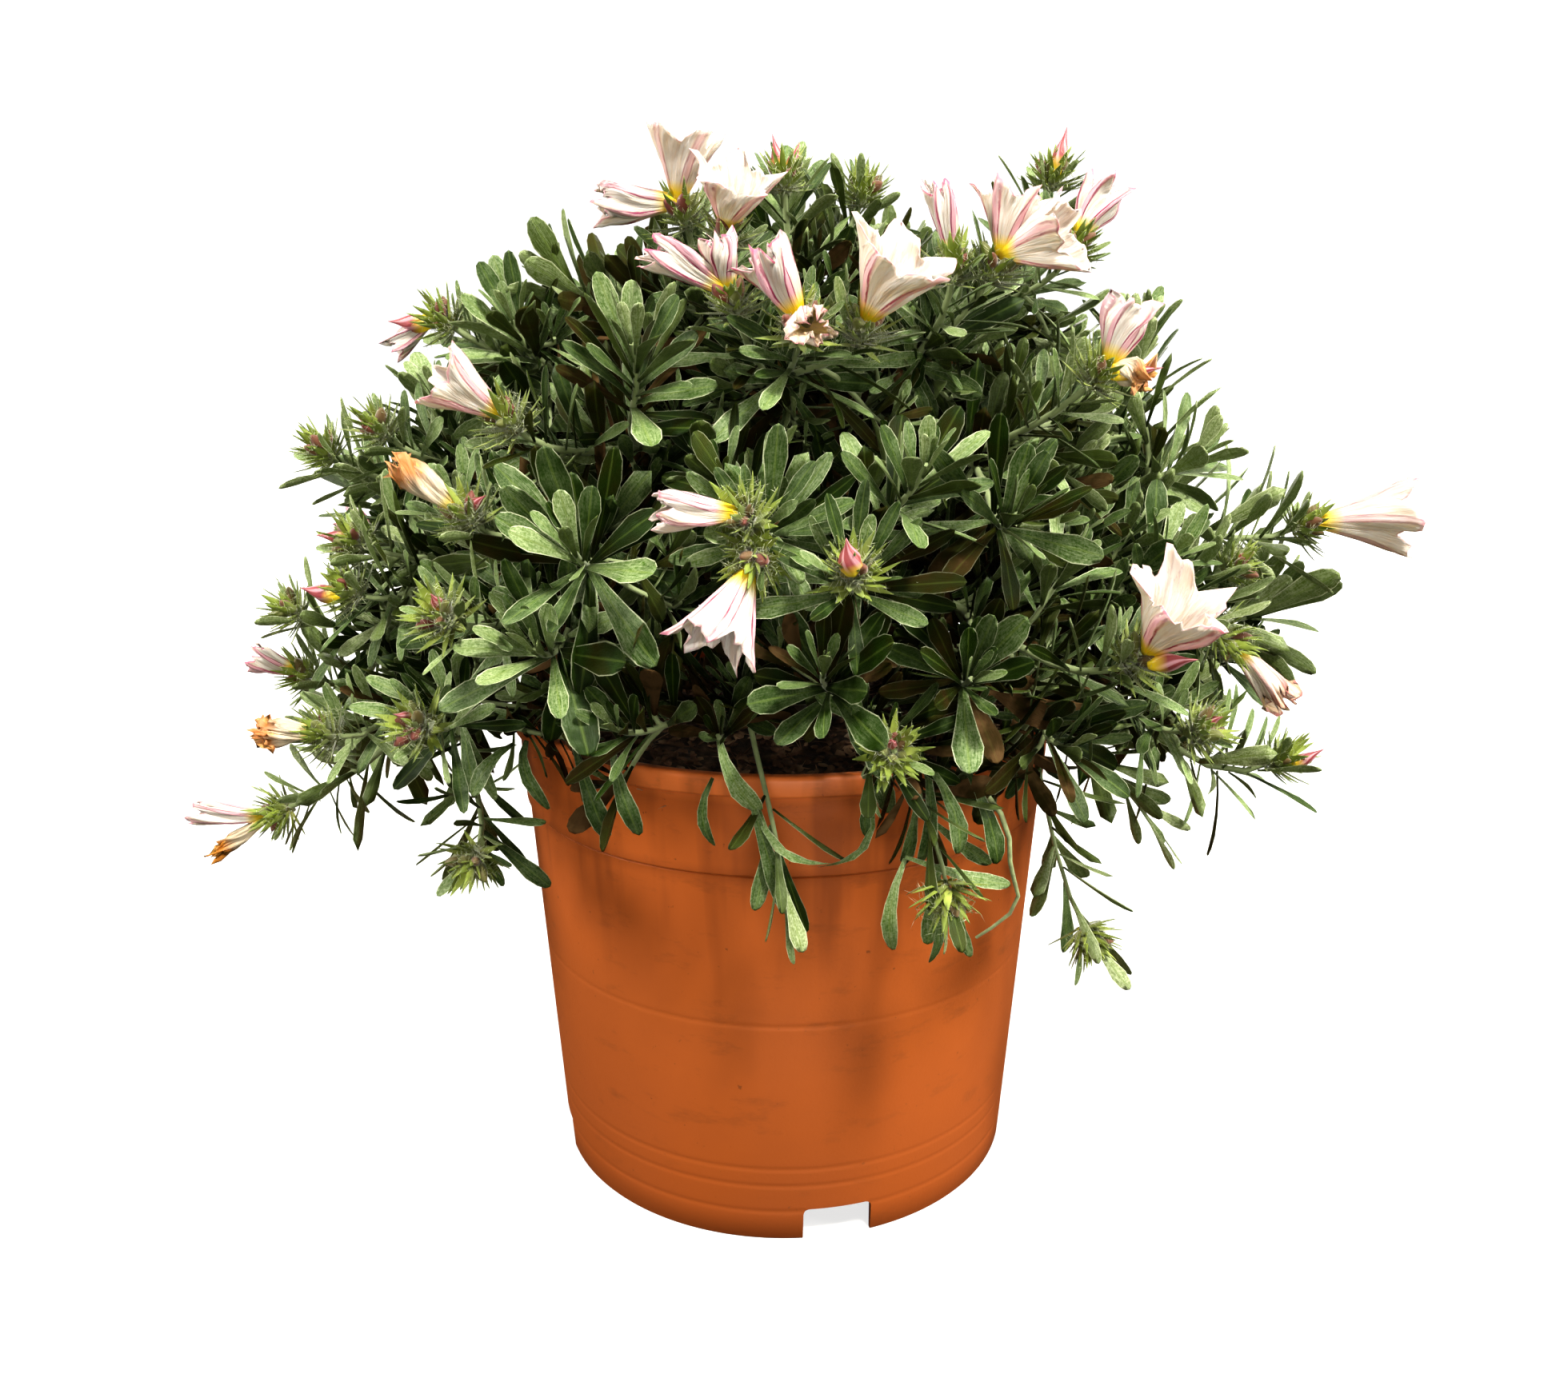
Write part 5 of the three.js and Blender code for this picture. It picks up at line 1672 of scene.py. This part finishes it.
def makePot(p):
    outer, inner = potProfile(p)
    pot = meshObject("potWall", lathe(inner + outer, p["sides"], p["floorTop"] - p["floor"], p["floorTop"]))
    cutter = notchCutter(p)
    cut = pot.modifiers.new("notches", "BOOLEAN")
    cut.operation = "DIFFERENCE"
    cut.object = cutter
    cut.solver = "EXACT"
    pot.data = plainMesh(pot, cut)
    bpy.data.objects.remove(cutter)
    pot.data.materials.clear()
    shaded(pot, potMaterial(potFinish))
    pot.data.set_sharp_from_angle(angle=math.radians(p["sharpFrom"]))
    finishPiece(pot, "pot_plastic", "pot")


makePot(potSettings)
print("pot made")

soilSettings = {
    "bottom": 14.3, "height": 157, "mound": 2, "rows": 34, "sides": 110, "gap": 0.4, "middle": 9.0,
    "lump": 2.2, "lumpSize": 14, "fine": 0.9, "fineSize": 4,
}
soilTones = [
    (0.3, (0.045, 0.026, 0.017)), (0.5, (0.120, 0.068, 0.042)), (0.7, (0.240, 0.145, 0.085)),
    (0.85, (0.40, 0.27, 0.17)),
]
crumbTones = [
    (0.35, (0.090, 0.050, 0.030)), (0.5, (0.26, 0.14, 0.08)), (0.65, (0.50, 0.33, 0.20)),
    (0.8, (0.70, 0.56, 0.40)),
]


def soilMaterial(tones):
    paint = Paint("pottingMix")
    lumps = paint.noise(140, 5, 0.7)
    colour = paint.ramp(lumps, tones)
    return paint.finish({"Base Color": colour, "Roughness": 0.92, "Normal": paint.bump(lumps, 0.9, 0.002)})


def crumbMaterial(tones):
    paint = Paint("barkCrumb")
    return paint.finish({"Base Color": paint.ramp(paint.noise(90, 2), tones), "Roughness": 0.85})


def crumbShape():
    shape = bmesh.new()
    bmesh.ops.create_icosphere(shape, subdivisions=1, radius=1.0)
    for vertex in shape.verts:
        vertex.co *= 1 + 0.5 * noise.noise(vertex.co * 1.7)
    crumb = meshFrom("crumbShape", shape)
    crumb.data.materials.append(crumbMaterial(crumbTones))
    return crumb


strewSettings = {
    "Crumb shape": crumbShape(),
    "Crumbs per square metre": 60000.0,
    "Fibres per square metre": 22000.0,
    "Lowest height": 0.1548,
    "Seed": 3,
}


# crumbs and fibres strewn over the soil's top
def strewTree(settings):
    grower = Grower("strewCrumbs", settings)
    given, add = grower.given, grower.add
    height = grower.apart(add("GeometryNodeInputPosition")["Position"])[2]
    compared = {0: height, 1: given["Lowest height"]}
    above = add("FunctionNodeCompare", compared, operation="GREATER_THAN")["Result"]
    shape = grower.shape("Crumb shape")

    def strewn(density, low, high, offset):
        seed = grower.math("ADD", given["Seed"], offset)
        over = {"Mesh": given["Geometry"], "Selection": above, "Density": given[density], "Seed": seed}
        spots = add("GeometryNodeDistributePointsOnFaces", over)["Points"]
        spin = grower.turned(grower.chance((-0.5, -0.5, 0), (0.5, 0.5, 6.28), seed))
        return grower.placed(spots, shape, spin, grower.chance(low, high, seed))

    crumbs = strewn("Crumbs per square metre", (0.0008, 0.0006, 0.0004), (0.0030, 0.0022, 0.0014), 0)
    fibres = strewn("Fibres per square metre", (0.004, 0.00015, 0.00015), (0.009, 0.0004, 0.0003), 11)
    add("NodeGroupOutput", {"Geometry": grower.real(grower.joined(crumbs, fibres, given["Geometry"]))})
    return grower


def makeSoil(s, p):
    inside = wallRadius(s["height"]) - p["wall"] - s["gap"]
    rim = [(wallRadius(s["bottom"]) - p["wall"] - s["gap"], s["bottom"]), (inside - 0.1, s["height"] - 3)]
    for k in range(s["rows"]):
        share = k / s["rows"]
        rise = s["mound"] * math.sin(share * math.pi / 2) - 1
        rim.append((mix(inside, s["middle"], share), s["height"] + rise))
    shape = lathe(rim, s["sides"], s["bottom"], s["height"] - 16)
    for vertex in shape.verts:
        if vertex.co.z > s["height"] - 2 and vertex.co.xy.length < inside - 0.5:
            spot = vertex.co.copy()
            lump, fine = noise.noise(spot / s["lumpSize"]), noise.noise(spot / s["fineSize"])
            vertex.co.z += s["lump"] * lump + s["fine"] * fine
    soil = shaded(meshObject("soilBed", shape), soilMaterial(soilTones))
    soil.data = strewTree(strewSettings).grow(soil, {})
    finishPiece(soil, "potting_mix", "soil")


makeSoil(soilSettings, potSettings)
print("soil made")

for helper in (leafShape, oldLeafShape, bractShape, knobShape, hairShape, strewSettings["Crumb shape"]):
    bpy.data.objects.remove(helper)

# studio: pale floor that fades to white, wide soft light overhead and a key lamp at the upper right
studio = {
    "floor": 4.0,
    "albedo": 0.40,
    "glow": 0.62,
    "fadeFrom": 0.45,
    "fadeTo": 1.5,
    "ambient": [(0.32, 0.07), (0.46, 0.40), (0.56, 0.42), (0.75, 0.21), (1.0, 0.14)],  # from nadir to zenith
    "mirrored": 0.45,  # share of the ambient light that shines on gloss
    "lampColour": (1.0, 0.97, 0.89),
    "target": (0, 0, 0.2),
    "airColour": (1.0, 0.98, 0.80),
    "lamps": [
        ("ceilingLamp", (0.0, -0.10, 1.9), 2.2, 21),
        ("keyLamp", (0.40, -0.80, 1.45), 0.26, 36),
        ("leftLamp", (-1.6, -0.35, 1.00), 0.8, 40),
        ("rightLamp", (1.7, -0.30, 0.80), 0.8, 36),
        ("frontLamp", (0.15, -1.8, 0.22), 0.9, 11),
        ("backLamp", (0.2, 1.8, 0.75), 1.2, 20),
    ],
}


def floorMaterial(s):
    paint = Paint("paleFloor")
    far = paint.add("ShaderNodeVectorMath", {0: paint.place}, operation="LENGTH")["Value"]
    fade = {"Value": far, "From Min": s["fadeFrom"], "From Max": s["fadeTo"], "To Min": s["glow"]}
    return paint.finish({
        "Base Color": (s["albedo"],) * 3,
        "Roughness": 0.8,
        "Emission Color": (1, 1, 1),
        "Emission Strength": paint.add("ShaderNodeMapRange", fade, interpolation_type="SMOOTHSTEP")["Result"],
    })


def makeFloor(s):
    shape = bmesh.new()
    bmesh.ops.create_circle(shape, cap_ends=True, segments=96, radius=s["floor"])
    floor = meshObject("studioFloor", shape, 1.0)
    floor.data.materials.append(floorMaterial(s))
    floor.visible_diffuse = False
    floor.visible_glossy = False


def makeSky(s):
    world = bpy.data.worlds.new("studioWorld")
    world.use_nodes = True
    sky = Wiring(world.node_tree)
    seen = sky.add("ShaderNodeLightPath")
    height = sky.apart(sky.add("ShaderNodeTexCoord")["Generated"])[2]
    soft = sky.ramp(sky.scaled(height, 0.5, 0.5), s["ambient"])
    soft = sky.times(soft, sky.scaled(seen["Is Glossy Ray"], s["mirrored"] - 1, 1.0))
    background = world.node_tree.nodes["Background"]
    sky.feed(background.inputs["Color"], sky.blend(seen["Is Camera Ray"], s["airColour"], (1, 1, 1)))
    sky.feed(background.inputs["Strength"], sky.math("MAXIMUM", soft, seen["Is Camera Ray"]))
    scene.world = world


def hangLamps(s):
    for name, place, size, power in s["lamps"]:
        data = bpy.data.lights.new(name, "AREA")
        data.shape = "DISK"
        data.size = size
        data.energy = power
        data.color = s["lampColour"]
        lamp = bpy.data.objects.new(name, data)
        lamp.location = place
        lamp.rotation_euler = (Vector(s["target"]) - Vector(place)).to_track_quat("-Z", "Y").to_euler()
        scene.collection.objects.link(lamp)


makeFloor(studio)
makeSky(studio)
hangLamps(studio)
scene.view_settings.view_transform = "Standard"
scene.view_settings.look = "Medium High Contrast"
print("studio lit")
